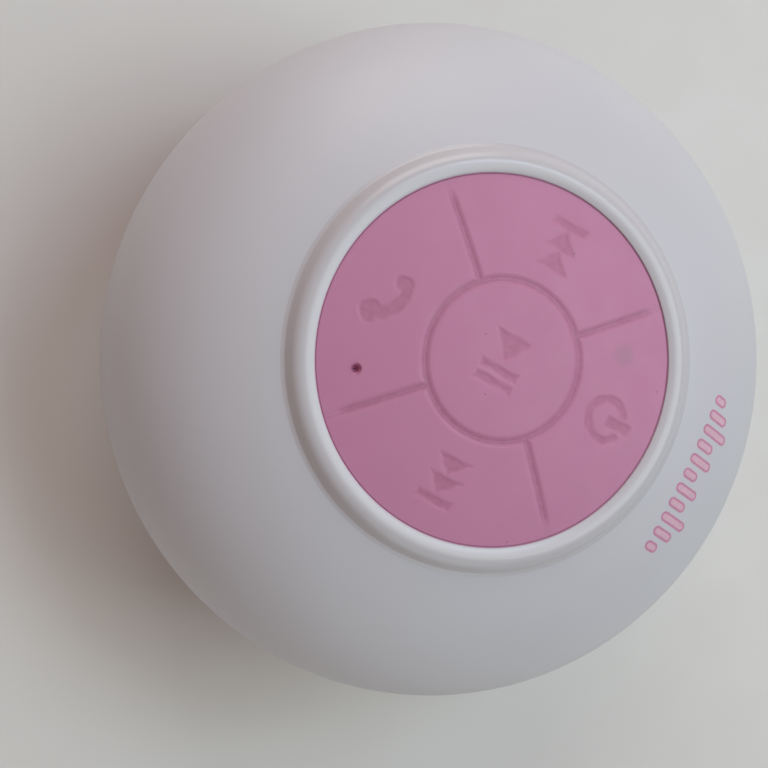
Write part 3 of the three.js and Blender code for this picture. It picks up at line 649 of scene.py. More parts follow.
def make_front_shell():
    """The dome, from the seam up to a collar round the keypad."""
    bottom, hole = SEAM_Z + SEAM_GAP / 2, WEB_RADIUS + 0.3
    flange_z, flange_radius = high("main_board")[2] + 0.3, hole + 1.5
    side = np.linspace(bottom + SEAM_EDGE, EQUATOR_Z, 8)[1:-1]
    seam_corner = [(bowl_radius(bottom, WALL), bottom), (bowl_radius(bottom), bottom, SEAM_EDGE),
                   (bowl_radius(bottom) + 0.05, bottom + 2)]
    outline = np.vstack([
        rounded(seam_corner, 5)[:-1],
        np.column_stack([bowl_radius(side), side]),
        dome_arc(hole, 0, 72),
        [(hole, flange_z), (flange_radius, flange_z)],
        dome_arc(flange_radius, WALL, 40)[::-1],
    ])
    shell = turned("front_shell_smooth", outline, 256)
    placed(shell, "housing", SHELL, ["front_shell"])


def make_bezel():
    """A bead that slopes gently to the keypad, drops steeply outside and runs out on the dome."""
    crown_radius, crown_z = 22.7, BEZEL_TOP - 0.15
    inner_curve, outer_curve, foot_curve, inner_round, under_round = 3.5, 1.7, 0.5, 0.12, 0.2
    steepest = 33  # degrees from upright, where the outside of the bead is steepest
    overlap = 0.03  # how far the bead's edge sinks into the dome
    inner_turn = math.degrees(math.acos((BEZEL_INNER + inner_round - crown_radius) / inner_curve))
    inside = arc((crown_radius, crown_z - inner_curve), inner_curve, inner_turn, 90, 12)
    outside = arc((crown_radius, crown_z - outer_curve), outer_curve, 90, steepest, 16)
    wall_end = outside[-1]
    slope = np.array([math.sin(math.radians(steepest)), -math.cos(math.radians(steepest))])
    drop = (wall_end[1] - dome_z(BEZEL_FOOT)) / -slope[1]
    foot = wall_end + slope * (drop + overlap)
    run_out = foot[0] + foot_curve
    skirt = rounded([
        wall_end, (*foot, foot_curve), (run_out, dome_z(run_out) - 0.004),
        (run_out, dome_z(run_out) - overlap), (WEB_RADIUS, dome_z(WEB_RADIUS) - 0.1),
        (WEB_RADIUS, BEZEL_BOTTOM, under_round), (BEZEL_INNER, BEZEL_BOTTOM, under_round),
        (BEZEL_INNER, inside[0][1] - inner_round / 2, inner_round / 2), inside[0]], 10)
    outline = np.vstack([inside, outside[1:], skirt[1:-1]])
    bezel = turned("bezel_ring_smooth", outline, 256)
    placed(bezel, "housing", BEZEL, ["bezel_ring"])


def sound_slot_cutters():
    """A ring of slots with round ends and flared mouths."""
    count, inner, outer, width, flare = 16, 10.3, 16.0, 2.0, 0.25
    levels = [(BACK_Z - 1, flare), (BACK_Z, flare), (BACK_Z + 0.3, 0), (BACK_FLOOR + 1, 0)]
    cutters = []
    for index in range(count):
        loops = []
        for level, outset in levels:
            flat = shrunk(outer - inner + 2 * outset, width + 2 * outset, 0, 40)
            loops.append(at_height(flat, level))
        slot = lofted(f"slot_{index}", loops)
        cutters.append(moved(slot, ((inner + outer) / 2, 0), TAU * index / count))
    return cutters


CASE_SCREWS = [f"case_screw_{index}" for index in range(1, 5)]
BOARD_SCREWS = [f"board_screw_{index}" for index in range(1, 4)]
WELL_RADIUS, WELL_TOP = 2.6, 14.0
POST_RADIUS, POST_TOP = 3.9, 19.7
SHANK_HOLE = 1.5
BACK_FLOOR = BACK_Z + WALL  # the inside of the flat back


def ring_above_bowl(centre, radius, above):
    """Circle about a point, at a height above the bowl's outside."""
    ring = circle(centre, radius)
    return at_height(ring, bowl_z(np.hypot(*ring.T)) + above)


def screw_well_cutters():
    """Holes for the screws' heads and shanks, with a rounded mouth that follows the bowl."""
    lip, sunk = 0.35, 0.02
    cutters = []
    for node in CASE_SCREWS:
        centre = centre_of(node)
        loops = [ring_above_bowl(centre, WELL_RADIUS + lip, -2)]
        for turn in np.radians([0, 20, 40, 60, 90]):
            radius = WELL_RADIUS + lip * (1 - math.sin(turn))
            loops.append(ring_above_bowl(centre, radius, lip * (1 - math.cos(turn)) - sunk))
        for radius, level in ((WELL_RADIUS, WELL_TOP), (SHANK_HOLE, WELL_TOP), (SHANK_HOLE, POST_TOP + 1)):
            loops.append(at_height(circle(centre, radius), level))
        cutters.append(lofted(f"{node}_well", loops))
    return cutters


def screw_posts():
    """Posts that the case screws pass through, standing on the inside of the bowl's wall."""
    posts = []
    for node in CASE_SCREWS:
        foot = ring_above_bowl(centre_of(node), POST_RADIUS, WALL / 2)
        top = at_height(circle(centre_of(node), POST_RADIUS), POST_TOP)
        posts.append(lofted(f"{node}_post", [foot, top]))
    return posts


PORT_Z = centre_of("charge_port_shell")[2]
PORT_SEAT_Y = low("charge_port_shell")[1] - 0.3
SURROUND_Y = -33.0  # inner face of the thick wall round the port
POCKET = {"low": -7.8, "high": 10.8, "height": 7.2}
FLAP = {"low": -7.4, "high": 7.4, "height": 6.6}


def port_loop(outline, middle_x, y):
    """A slot outline stood upright at a place along Y."""
    return np.column_stack([outline[:, 0] + middle_x, np.full(len(outline), y), outline[:, 1] + PORT_Z])


def span_loop(span, inset, y, count=64):
    """Slot outline of the port's pocket or flap, moved inwards, at a place along Y."""
    outline = shrunk(span["high"] - span["low"], span["height"], inset, count)
    return port_loop(outline, (span["low"] + span["high"]) / 2, y)


def port_cutters():
    """The pocket that the flap lies in, with a rounded floor, and the hole for the socket."""
    floor_round, length, height = 0.15, 9.2, 4
    pocket = [span_loop(POCKET, floor_round, PORT_SEAT_Y),
              span_loop(POCKET, 0, PORT_SEAT_Y - floor_round), span_loop(POCKET, 0, -BODY_RADIUS - 1)]
    hole = [port_loop(stadium(length, height), 0, y) for y in (SURROUND_Y + 1, PORT_SEAT_Y - 1)]
    return [lofted("pocket", pocket), lofted("socket_hole", hole)]


def make_rear_shell():
    """The bowl, with the loudspeaker's seat, screw posts, sound slots and the port's pocket."""
    top = SEAM_Z - SEAM_GAP / 2
    seat_outer, seat_inner, seat_top = 20.5, 16.5, low("driver_gasket")[2] - 0.3
    boss_radius, boss_top, cup_screw_hole = 4.5, BACK_FLOOR + 1.2, 1.8
    seam_corner = [(bowl_radius(top - 2), top - 2), (bowl_radius(top), top, SEAM_EDGE),
                   (bowl_radius(top, WALL), top)]
    outline = np.vstack([
        [(0, BACK_Z)],
        bowl_arc(top - SEAM_EDGE, 0, 48)[::-1],
        rounded(seam_corner, 5)[1:-1],
        bowl_arc(top, WALL, 30),
        [(seat_outer, BACK_FLOOR), (seat_outer, seat_top)],
        [(seat_inner, seat_top), (seat_inner, BACK_FLOOR)],
        [(boss_radius, BACK_FLOOR), (boss_radius, boss_top), (0, boss_top)],
    ])
    shell = turned("rear_shell_smooth", outline, 256)
    combined(shell, [*screw_posts(), port_surround()], "UNION")
    screw_hole = rod("screw_hole", cup_screw_hole, BACK_Z - 1, BACK_FLOOR + 3, segments=48)
    carved(shell, [*sound_slot_cutters(), *screw_well_cutters(), screw_hole, *port_cutters()], 32)
    placed(shell, "housing", SHELL, ["rear_shell"])


def port_surround():
    """Thick block of wall that the port pocket is sunk into, its outside following the bowl."""
    half_width, top, below_face = 12.0, 22, 0.8
    sides = np.linspace(-half_width, half_width, 15)
    loops = []
    for level in np.linspace(BACK_FLOOR - 0.5, top, 12):
        radius = bowl_radius(level) - below_face
        front = [(x, -math.sqrt(radius ** 2 - x ** 2), level) for x in sides]
        loops.append(front + [(half_width, SURROUND_Y, level), (-half_width, SURROUND_Y, level)])
    return lofted("port_block", loops)


def cross_recess(bottom, depth, span):
    """Two crossed bars that narrow with depth, for a screw's cross recess."""
    thickness, deep_share = span * 2 / 7, 0.45
    bars = []
    for length, width in ((span, thickness), (thickness, span)):
        loops = []
        for level, share in ((bottom - 0.5, 1.0), (bottom + depth, deep_share)):
            loops.append([(sign_x * length / 2 * share, sign_y * width / 2 * share, level)
                          for sign_x, sign_y in ((-1, -1), (1, -1), (1, 1), (-1, 1))])
        bars.append(lofted("recess_bar", loops))
    return bars


def make_screws(nodes, head_radius, head_height, shank_radius, recess_span):
    """Pan-head screws with a cross recess, pointing up."""
    pitch, thread_height = 0.8, 0.18
    for node in nodes:
        bottom, tip = low(node)[2], high(node)[2]
        seat = bottom + head_height
        outline = rounded([
            (0, bottom), (head_radius * 0.72, bottom + 0.06, 0.6),
            (head_radius, bottom + head_height * 0.55, 0.4), (head_radius, seat, 0.1),
            (shank_radius, seat)], 5).tolist()
        for level in np.arange(seat + 0.6, tip - 1.2, pitch):
            outline += [(shank_radius, level), (shank_radius + thread_height, level + pitch / 4),
                        (shank_radius, level + pitch / 2)]
        outline += [(shank_radius, tip - shank_radius), (0, tip)]
        screw = turned(f"{node}_threaded", outline, 48, 40)
        carved(screw, cross_recess(bottom, head_height * 0.62, recess_span), 40)
        moved(screw, centre_of(node)[:2])
        placed(screw, "housing", STEEL, [node])


# --- keypad

def face_z(radius):
    """Height of the keypad's domed face."""
    return CROWN_Z - radius ** 2 / (2 * KEYPAD_CURVE)


def corner_distance(first, second):
    """Signed distance to a square corner, from the signed distances to its two edges."""
    outside = np.hypot(np.maximum(first, 0), np.maximum(second, 0))
    return outside + np.minimum(np.maximum(first, second), 0)


def box_distance(x, y, centre, width, height):
    """Signed distance to an upright rectangle, in millimetres; negative inside."""
    return corner_distance(np.abs(x - centre[0]) - width / 2, np.abs(y - centre[1]) - height / 2)


def triangle_distance(x, y, base_x, tip_x, middle_y, height):
    """Signed distance, close to its edges, to a triangle with an upright base and a tip beside it."""
    direction, corner_round = (1 if tip_x > base_x else -1), 0.16
    run, half = abs(tip_x - base_x), height / 2
    along = (x - base_x) * direction
    side = ((along - run) * half + np.abs(y - middle_y) * run) / math.hypot(run, half)
    return corner_distance(side + corner_round, corner_round - along) - corner_round


def arc_distance(x, y, centre, radius, half_width, middle_angle, half_angle):
    """Signed distance to a bent bar with round ends."""
    dx, dy = x - centre[0], y - centre[1]
    turn = (np.arctan2(dy, dx) - middle_angle + math.pi) % TAU - math.pi
    turn = np.clip(turn, -half_angle, half_angle) + middle_angle
    return np.hypot(dx - radius * np.cos(turn), dy - radius * np.sin(turn)) - half_width


def power_icon(x, y):
    """A ring open at the top, with an upright bar in the opening."""
    opening, half_line, bar_round = math.radians(37), 0.56, 0.2
    ring = arc_distance(x, y, (0.0, 14.7), 2.4, half_line, -math.pi / 2, math.pi - opening)
    bar = box_distance(x, y, (0.0, 16.6), 1.1, 3.1) - bar_round
    return np.minimum(ring, bar)


def track_icon(level, bar_x, bar_size, triangles):
    """A symbol of two triangles that point outwards to a bar."""
    def distance(x, y):
        shape = box_distance(x, y, (bar_x, level), *bar_size)
        for base_x, tip_x in triangles:
            shape = np.minimum(shape, triangle_distance(x, y, base_x, tip_x, level, 4.6))
        return shape
    return distance


def play_pause_icon(x, y):
    """A triangle and two bars beside it."""
    level = -0.05
    triangle = triangle_distance(x, y, -3.1, 0.3, level, 4.8)
    first, second = (box_distance(x, y, (place, level), 1.1, 4.9) for place in (1.3, 2.85))
    return np.minimum(triangle, np.minimum(first, second))


def phone_icon(x, y):
    """A handset: a bent bar between two rounded ends, the mouthpiece a little larger."""
    bend_centre, bend_radius, half_bar = (-0.75, -17.1), 3.5, 0.8
    mouthpiece, earpiece = (math.radians(14), 1.1), (math.radians(114), 0.9)  # angle, roundness
    middle, half_sweep = (earpiece[0] + mouthpiece[0]) / 2, (earpiece[0] - mouthpiece[0]) / 2
    shape = arc_distance(x, y, bend_centre, bend_radius, half_bar, middle, half_sweep)
    for angle, roundness in (mouthpiece, earpiece):
        outward = np.array([math.cos(angle), math.sin(angle)])
        place = np.array(bend_centre) + outward * (bend_radius - 0.25)
        along = (x - place[0]) * outward[0] + (y - place[1]) * outward[1]
        across = (y - place[1]) * outward[0] - (x - place[0]) * outward[1]
        shape = np.minimum(shape, box_distance(across, along, (0, 0), 0.15, 0.5) - roundness)
    return shape


ICONS = {
    "play_pause_key": play_pause_icon,
    "power_key": power_icon,
    "next_track_key": track_icon(0.3, 17.6, (1.1, 4.6), [(12.3, 14.8), (14.6, 17.1)]),
    "previous_track_key": track_icon(0.35, -17.7, (1.15, 4.7), [(-14.5, -17.1), (-11.9, -14.5)]),
    "phone_key": phone_icon,
}


def groove_profile(distance):
    """Depth of a groove's cross-section at a distance from its middle line."""
    return GROOVE_DEPTH * (1 - smoothstep(GROOVE_FLOOR_HALF, GROOVE_MOUTH_HALF, distance))


def keypad_top(x, y, icon=None):
    """Height of the keypad's finished face: dome, grooves, round rim and a sunk symbol."""
    return face_with_depth(x, y, icon)[0]


def top_at(x, y):
    """Height of the keypad's finished face at one place."""
    return float(keypad_top(np.array(x), np.array(y)))


def face_with_depth(x, y, icon):
    """Height of the keypad's finished face, and how far each point is sunk, from 0 to 1."""
    fade_start, fade_end, wobble = 18.6, 20.6, 0.07
    radius = np.hypot(x, y)
    diagonal = np.minimum(np.abs(x - y), np.abs(x + y)) / math.sqrt(2)
    fade = 1 - smoothstep(fade_start, fade_end, radius)
    outside_middle = smoothstep(GROOVE_RADIUS - 0.2, GROOVE_RADIUS, radius)
    round_groove = groove_profile(np.abs(radius - GROOVE_RADIUS))
    grooves = np.maximum(round_groove, groove_profile(diagonal) * fade * outside_middle)
    reach = np.clip((radius - (KEYPAD_RADIUS - RIM_ROUND)) / RIM_ROUND, 0, 1)
    height = face_z(radius) - grooves - RIM_ROUND * (1 - np.sqrt(1 - reach ** 2 * 0.98))
    sunk = grooves / GROOVE_DEPTH
    if icon is not None:
        unevenness = wobble * (np.sin(2.3 * x + 1.1 * y) + np.sin(1.9 * y - 2.7 * x + 1))
        symbol = 1 - smoothstep(-ICON_EDGE_INSIDE, ICON_EDGE_OUTSIDE, icon(x, y) + unevenness)
        height = height - ICON_DEPTH * symbol
        sunk = np.maximum(sunk, symbol)
    return height, sunk


def shade_sunk(piece, icon=None):
    """Stores on each point of a keypad piece how far it is sunk, for the material to darken with painted shade."""
    points = np.empty(len(piece.data.vertices) * 3)
    piece.data.vertices.foreach_get("co", points)
    x, y, _ = points.reshape(-1, 3).T / MM
    microphone = centre_of("microphone")
    # painted shade spreading round the microphone's hole
    hole = 1 - smoothstep(0.3, 1.0, np.hypot(x - microphone[0], y - microphone[1]))
    sunk = np.maximum(face_with_depth(x, y, icon)[1], HOLE_SHADE * hole)
    layer = piece.data.attributes.new("sunk", "FLOAT", "POINT")
    layer.data.foreach_set("value", sunk)


def walled(name, points, faces, outline, bottom_z):
    """Solid under a surface: the surface, a wall down from its outline and a flat bottom."""
    wall = points[outline]
    wall[:, 2] = bottom_z
    first, count = len(points), len(outline)
    for step in range(count):
        after = (step + 1) % count
        faces.append((outline[step], outline[after], first + after, first + step))
    faces.append(tuple(range(first, first + count)))
    return mesh_piece(name, np.vstack([points, wall]), faces, 50)


def face_patch(name, x, y, bottom_z, icon=None):
    """Solid with the keypad's face on top, over a grid of places."""
    rows, columns = x.shape
    points = np.stack([x, y, keypad_top(x, y, icon)], axis=-1).reshape(-1, 3)
    index = np.arange(rows * columns).reshape(rows, columns)
    outline = [*index[0, :], *index[1:, -1], *index[-1, -2::-1], *index[-2:0:-1, 0]]
    return walled(name, points, grid_faces(rows, columns, False, False), outline, bottom_z)


KEY_BOTTOM = BEZEL_BOTTOM + 0.6  # flat underside of the keys, above the web's sheet by their travel


def actuator(node):
    """Round boss under a key that meets its switch."""
    radius, edge, top = 1.4, 0.25, KEY_BOTTOM + 0.2
    outline = rounded([(0, low(node)[2]), (radius, low(node)[2], edge), (radius, top), (0, top)], 4)
    switch = centre_of(node.replace("_key", "_plunger"))
    return moved(turned(f"{node}_boss", outline, 32), switch[:2])


def finish_key(name, cap):
    """Joins a key's cap to its boss, shades its sunk parts and puts it in its place."""
    key = joined(f"{name}_moulded", [cap, actuator(name)])
    shade_sunk(key, ICONS[name])
    placed(key, name, KEYPAD, [name])


def make_middle_key():
    """The round key inside the round groove."""
    name, edge = "play_pause_key", GROOVE_RADIUS - RIB_HALF - HAIRLINE
    icon_reach, border = 4.2, edge - 0.5
    radii = graded((0.05, icon_reach, 0.09), (icon_reach, border, 0.3), (border, edge, 0.05))
    rows, columns = len(radii), 400
    radius, angle = np.meshgrid(radii, np.linspace(0, TAU, columns, endpoint=False), indexing="ij")
    x, y = radius * np.cos(angle), radius * np.sin(angle)
    top = keypad_top(x, y, ICONS[name])
    points = np.vstack([np.stack([x, y, top], axis=-1).reshape(-1, 3), (0, 0, top[0].mean())])
    middle = rows * columns
    faces = grid_faces(rows, columns, False, True)
    faces += [(step, (step + 1) % columns, middle) for step in range(columns)]
    outline = list(range(middle - columns, middle))
    finish_key(name, walled(f"{name}_cap", points, faces, outline, KEY_BOTTOM))


def make_quarter_key(name, middle_angle):
    """A quarter-ring key between two diagonal grooves."""
    side = RIB_HALF + HAIRLINE
    inner, outer = GROOVE_RADIUS + side, KEYPAD_RADIUS
    groove, icon_inner, icon_outer, rim = inner + 0.5, 11.6, 18.8, outer - 0.4
    radii = graded((inner, groove, 0.05), (groove, icon_inner, 0.2), (icon_inner, icon_outer, 0.09),
                   (icon_outer, rim, 0.2), (rim, outer, 0.04))
    share = graded((-1.0, -0.94, 0.01), (-0.94, -0.36, 0.025), (-0.36, 0.36, 0.0075),
                   (0.36, 0.94, 0.025), (0.94, 1.0, 0.01))
    radius, across = np.meshgrid(radii, share, indexing="ij")
    angle = middle_angle + across * (math.pi / 4 - np.arcsin(side / radius))
    x, y = radius * np.cos(angle), radius * np.sin(angle)
    cap = face_patch(f"{name}_cap", x, y, KEY_BOTTOM, ICONS[name])
    if name == "phone_key":
        carved(cap, [microphone_hole_cutter()], 50)
    finish_key(name, cap)


def microphone_hole_cutter():
    """A pinhole with a funnel mouth."""
    x, y = centre_of("microphone")[:2]
    bottom, top, pinhole = KEY_BOTTOM - 1, top_at(x, y), 0.1
    funnel = [(0.3, top - 0.65), (0.42, top - 0.35), (0.5, top - 0.1), (0.66, top), (0.78, top + 0.6)]
    outline = [(0, bottom), (pinhole, bottom), (pinhole, top - 0.75), *funnel, (0, top + 0.6)]
    return moved(turned("microphone_hole", outline, 40), (x, y))


WEB_TOP = WEB_BOTTOM + 0.7
RIB_ROOT = WEB_TOP - 0.2  # the ribs start inside the sheet
PLUNGERS = [node.replace("_key", "_plunger") for node in ICONS]


def web_sheet():
    """The sheet behind the keys, with holes over the switches and the microphone."""
    edge, switch_hole, microphone_hole = 0.15, 2.0, 0.7
    outline = rounded([(0, WEB_BOTTOM), (WEB_RADIUS, WEB_BOTTOM, edge), (WEB_RADIUS, WEB_TOP, edge),
                       (0, WEB_TOP)], 3)
    sheet = turned("web_sheet", outline, 128)
    bottom, top = WEB_BOTTOM - 1, WEB_TOP + 1
    holes = [rod(f"{node}_hole", switch_hole, bottom, top, centre_of(node)[:2]) for node in PLUNGERS]
    holes.append(rod("web_mic_hole", microphone_hole, bottom, top, centre_of("microphone")[:2], 24))
    carved(sheet, holes)
    return sheet


def round_rib(across):
    """The rib in the round groove."""
    top = [(GROOVE_RADIUS + step, top_at(GROOVE_RADIUS + step, 0.0)) for step in across]
    roots = [(GROOVE_RADIUS + RIB_HALF, RIB_ROOT), (GROOVE_RADIUS - RIB_HALF, RIB_ROOT)]
    return turned("round_rib", [*roots, *top], 320, 60)


def edge_lip():
    """The thin lip that fills the gap between the keys and the bezel."""
    inner, outer, top = KEYPAD_RADIUS + 0.015, BEZEL_INNER - 0.005, float(face_z(KEYPAD_RADIUS)) - 0.05
    return turned("edge_lip", [(inner, RIB_ROOT), (outer, RIB_ROOT), (outer, top), (inner, top)], 320)


def diagonal_ribs(across):
    """The ribs in the four straight grooves."""
    start, fading = GROOVE_RADIUS + RIB_HALF - 0.05, 18  # fading: just inside where the grooves fade out
    rim, end = KEYPAD_RADIUS - 0.4, KEYPAD_RADIUS - 0.02
    along = graded((start, fading, 0.5), (fading, rim, 0.1), (rim, end, 0.04))
    distance, offset = np.meshgrid(along, across, indexing="ij")
    ribs = []
    for index in range(4):
        turn = TAU * (index + 0.5) / 4
        x = distance * math.cos(turn) - offset * math.sin(turn)
        y = distance * math.sin(turn) + offset * math.cos(turn)
        ribs.append(face_patch(f"rib_{index}", x, y, RIB_ROOT))
    return ribs


def make_web():
    """The sheet behind the keys and its ribs, whose tops are the floors of the grooves."""
    across = np.linspace(-RIB_HALF, RIB_HALF, 7)
    pieces = [web_sheet(), round_rib(across), edge_lip(), *diagonal_ribs(across)]
    web = joined("keypad_web_moulded", pieces)
    shade_sunk(web)
    placed(web, "housing", KEYPAD, ["keypad_web"])


def make_keypad():
    make_web()
    make_middle_key()
    outer_keys = ("next_track_key", "power_key", "previous_track_key", "phone_key")
    for quarter, name in enumerate(outer_keys):
        make_quarter_key(name, quarter * TAU / 4)


# --- print on the dome

PRINT_CENTRE_Y, PRINT_LENGTH, PRINT_HEIGHT = 30.7, 21.2, 4.7
BAR_WIDTH, INK_OUTLINE = 1.3, 0.3


def bar_on_dome(name, x_middle, height, inset, lift):
    """One level bar with round ends as a thin film on the dome, standing on the print's base line."""
    film, y_middle = 0.03, PRINT_CENTRE_Y - PRINT_HEIGHT / 2 + height / 2
    rings = []
    for share in (0.0, 0.35, 0.7, 1.0):
        outline = shrunk(height, BAR_WIDTH, inset + (BAR_WIDTH / 2 - inset) * (1 - share), 56)
        rings.append(outline[:, ::-1] + (x_middle, y_middle))
    top = [at_height(ring, dome_z(np.hypot(*ring.T)) + lift) for ring in rings]
    return lofted(name, [*top, *(ring - (0, 0, film) for ring in top[::-1])], 60)


def make_print():
    """A row of outlined sound-level bars, in two pinks."""
    levels = [0.46, 0.74, 1.0, 0.66, 0.86, 0.56, 0.86, 0.66, 1.0, 0.74, 0.46]
    outline_lift, fill_lift, half_row = 0.012, 0.02, (PRINT_LENGTH - BAR_WIDTH) / 2
    outlines, fills = [], []
    for index, (place, level) in enumerate(zip(np.linspace(-half_row, half_row, len(levels)), levels)):
        height = PRINT_HEIGHT * level
        outlines.append(bar_on_dome(f"bar_outline_{index}", place, height, 0, outline_lift))
        fills.append(bar_on_dome(f"bar_fill_{index}", place, height, INK_OUTLINE, fill_lift))
    deep = printing_ink("print_deep_pink", PRINT_DEEP_PINK)
    pale = printing_ink("print_pale_pink", PRINT_PALE_PINK)
    placed(joined("print_bar_outlines", outlines), "housing", deep)
    placed(joined("print_bar_fills", fills), "housing", pale)


# --- charging port

def flap_face_y(x, z):
    """The bowl's surface, as the flap's outside follows it."""
    return -np.sqrt(bowl_radius(z) ** 2 - x ** 2)


def make_port_cover():
    """Flap whose face follows the bowl, with a plug behind it that goes into the socket."""
    seat, edge_round, dish_depth = PORT_SEAT_Y - 0.3, 0.35, 0.12
    loops = []
    for inset in (3.2, 2.4, 1.6, 0.9, 0.35, 0.22, 0.1, 0.03, 0.0):
        loop = span_loop(FLAP, inset, 0, 72)
        from_edge = 1 - min(inset, edge_round) / edge_round
        fall = edge_round * (1 - math.sqrt(1 - from_edge ** 2))
        dish = dish_depth * float(smoothstep(0.9, 1.6, inset))
        loop[:, 1] = flap_face_y(loop[:, 0], loop[:, 2]) + fall + dish
        loops.append(loop)
    back = ((0.0, seat - 0.1), (0.1, seat), (1.5, seat), (3.2, seat))
    loops += [span_loop(FLAP, inset, y, 72) for inset, y in back]
    flap = lofted("port_flap", loops, 40)
    plug_sections = ((0, seat - 0.2), (0, seat + 1.35), (0.08, seat + 1.5), (0.3, seat + 1.6))
    plug_loops = [port_loop(shrunk(6.4, 1.7, inset, 40), 0, y) for inset, y in plug_sections]
    plug = lofted("port_plug", plug_loops, 40)
    cover = joined("port_cover_moulded", [flap, plug])
    placed(cover, "port_cover", COVER, ["port_cover"])


def make_port_strap():
    """Band of silicone between the flap and its anchor."""
    hinge = next(joint for joint in frame["joints"] if joint["name"] == "port_cover_swing")
    hinge_x, hinge_y, _ = np.array(hinge["pos_m"]) / MM
    start, end = FLAP["high"] - 0.6, POCKET["high"] - 0.35
    half_height, half_thick, anchor_swell, count = 1.4, 0.36, 0.35, 24
    below_face = 0.55
    loops = []
    for x in np.linspace(start, end, 22):
        swell = anchor_swell * float(smoothstep(hinge_x + 0.5, end - 0.3, x))
        section = stadium(2 * (half_height + swell), 2 * (half_thick + swell * 0.8), count)
        face = -math.sqrt(bowl_radius(PORT_Z - 1.2) ** 2 - x ** 2)
        y = max(hinge_y, face + below_face)
        loops.append(np.column_stack([np.full(count, x), section[:, 1] + y, section[:, 0] + PORT_Z]))
    strap = lofted("port_strap", loops, 50)
    strap.data.materials.append(COVER.material)
    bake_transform(strap)


def make_charge_socket():
    """Folded metal mouth, and the contacts on the tongue."""
    mouth, back = low("charge_port_shell")[1], high("charge_port_shell")[1]
    thickness = 0.4
    profile = ((0, back), (0, mouth + 0.25), (0.05, mouth + 0.05), (0.15, mouth), (0.28, mouth),
               (thickness, mouth + 0.12), (thickness, back))
    loops = [port_loop(shrunk(8.6, 3.4, inset, 64), 0, y) for inset, y in profile]
    shell = lofted("charge_port_shell_smooth", loops, 40, closed=True)
    placed(shell, "housing", STEEL, ["charge_port_shell"])
    front, (_, rear, top) = low("charge_port_tongue")[1], high("charge_port_tongue")
    half_width, sunk, proud = 0.22, 0.02, 0.05
    contacts = []
    for x in np.linspace(-1.8, 1.8, 5):
        corners = [(x - half_width, top - sunk), (x + half_width, top - sunk),
                   (x + half_width, top + proud), (x - half_width, top + proud)]
        loops = [[(corner_x, y, z) for corner_x, z in corners] for y in (front + 0.3, rear - 0.4)]
        contacts.append(lofted("contact", loops))
    placed(joined("charge_port_contacts", contacts), "housing", GOLD)


# --- suction cup

def make_suction_cup():
    """Thin cup with fine sealing rings inside its rim and a hub that the screw holds."""
    hollow_radius, hollow_height, ring_depth, ring_start = 27.6, 5.8, 0.05, 0.8
    shares = np.linspace(0.17, 1.0, 40)
    in_rings = shares > ring_start
    rings = ring_depth * (np.cos((shares - ring_start) / (1 - ring_start) * TAU * 4) - 1) * in_rings
    levels = np.maximum(hollow_height * (1 - shares ** 2.6) + rings, 0)
    hollow = np.column_stack([hollow_radius * shares, levels])
    rim = [(CUP_RADIUS - 0.3, 0, 0.2), (CUP_RADIUS, 0.45, 0.3), (CUP_RADIUS - 0.5, 1.0, 0.6)]
    back = [(27, 2.9, 14), (20, 5.6, 30), (11.5, 7.5, 4), (9.5, 8.3, 0.7)]
    hub = [(9.5, CUP_TOP, 0.3), (1.8, CUP_TOP), (1.8, 7), (4.6, 7, 0.2), (4.6, 5.75)]
    outline = np.vstack([hollow, rounded([*rim, *back, *hub], 8)])
    cup = turned("suction_cup_moulded", outline, 256, 45)
    cup.data.materials.append(CUP.material)
    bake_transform(cup)
    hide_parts("suction_cup")


# --- loudspeaker, seen through the slots

def thickened(line, thickness):
    """Closed outline of a thin sheet that rises by its thickness from a line of points."""
    return np.vstack([line, (line + [0, thickness])[::-1]])


def make_surround():
    """Half-round roll that joins the cone to the basket."""
    middle, outer, thickness = (14.6, low("driver_basket")[2] + 0.2), 1.4, 0.35
    roll = np.vstack([arc(middle, outer, -180, 0, 15), arc(middle, outer - thickness, 0, -180, 15)])
    surround = turned("driver_surround_rolled", roll, 96)
    placed(surround, "housing", CONE, ["driver_surround"])


def make_cone():
    rim, neck, paper = high("driver_cone")[0], high("voice_coil")[0] + 0.4, 0.5
    front, depth = low("driver_cone")[2], high("driver_cone")[2] - low("driver_cone")[2] - paper
    steps = np.linspace(0, 1, 14)
    face = np.column_stack([rim + (neck - rim) * steps, front + depth * steps ** 0.85])
    cone = turned("driver_cone_curved", thickened(face, paper), 96)
    placed(cone, "driver_cone", CONE, ["driver_cone"])


def make_dust_cap():
    radius, bulge, shares = 5.2, 1.4, np.linspace(0, 1, 12)
    face = np.column_stack([radius * shares, low("dust_cap")[2] + bulge * shares ** 2])
    cap = turned("dust_cap_domed", thickened(face, 0.35), 64)
    placed(cap, "driver_cone", CONE, ["dust_cap"])


# --- stage, camera and light

KEYPAD_TURN = math.radians(118.1)  # how far the picture's up is turned from the power key's direction
CAMERA_TILT = math.radians(17.8)
CAMERA_DISTANCE, FOCAL_SHARE = 180.0, 1.7954  # millimetres; focal length over the picture's width
AIM_RIGHT, AIM_UP = -7.23, -3.03
PICTURE_RIGHT = Vector((math.cos(KEYPAD_TURN), math.sin(KEYPAD_TURN), 0))
PICTURE_UP = Vector((-math.sin(KEYPAD_TURN), math.cos(KEYPAD_TURN), 0))
OUT = Vector((0, 0, 1))


def in_picture(right, up, out):
    """A point in metres from distances in millimetres along the picture's directions, from the floor."""
    return (PICTURE_RIGHT * right + PICTURE_UP * up + OUT * out) * MM


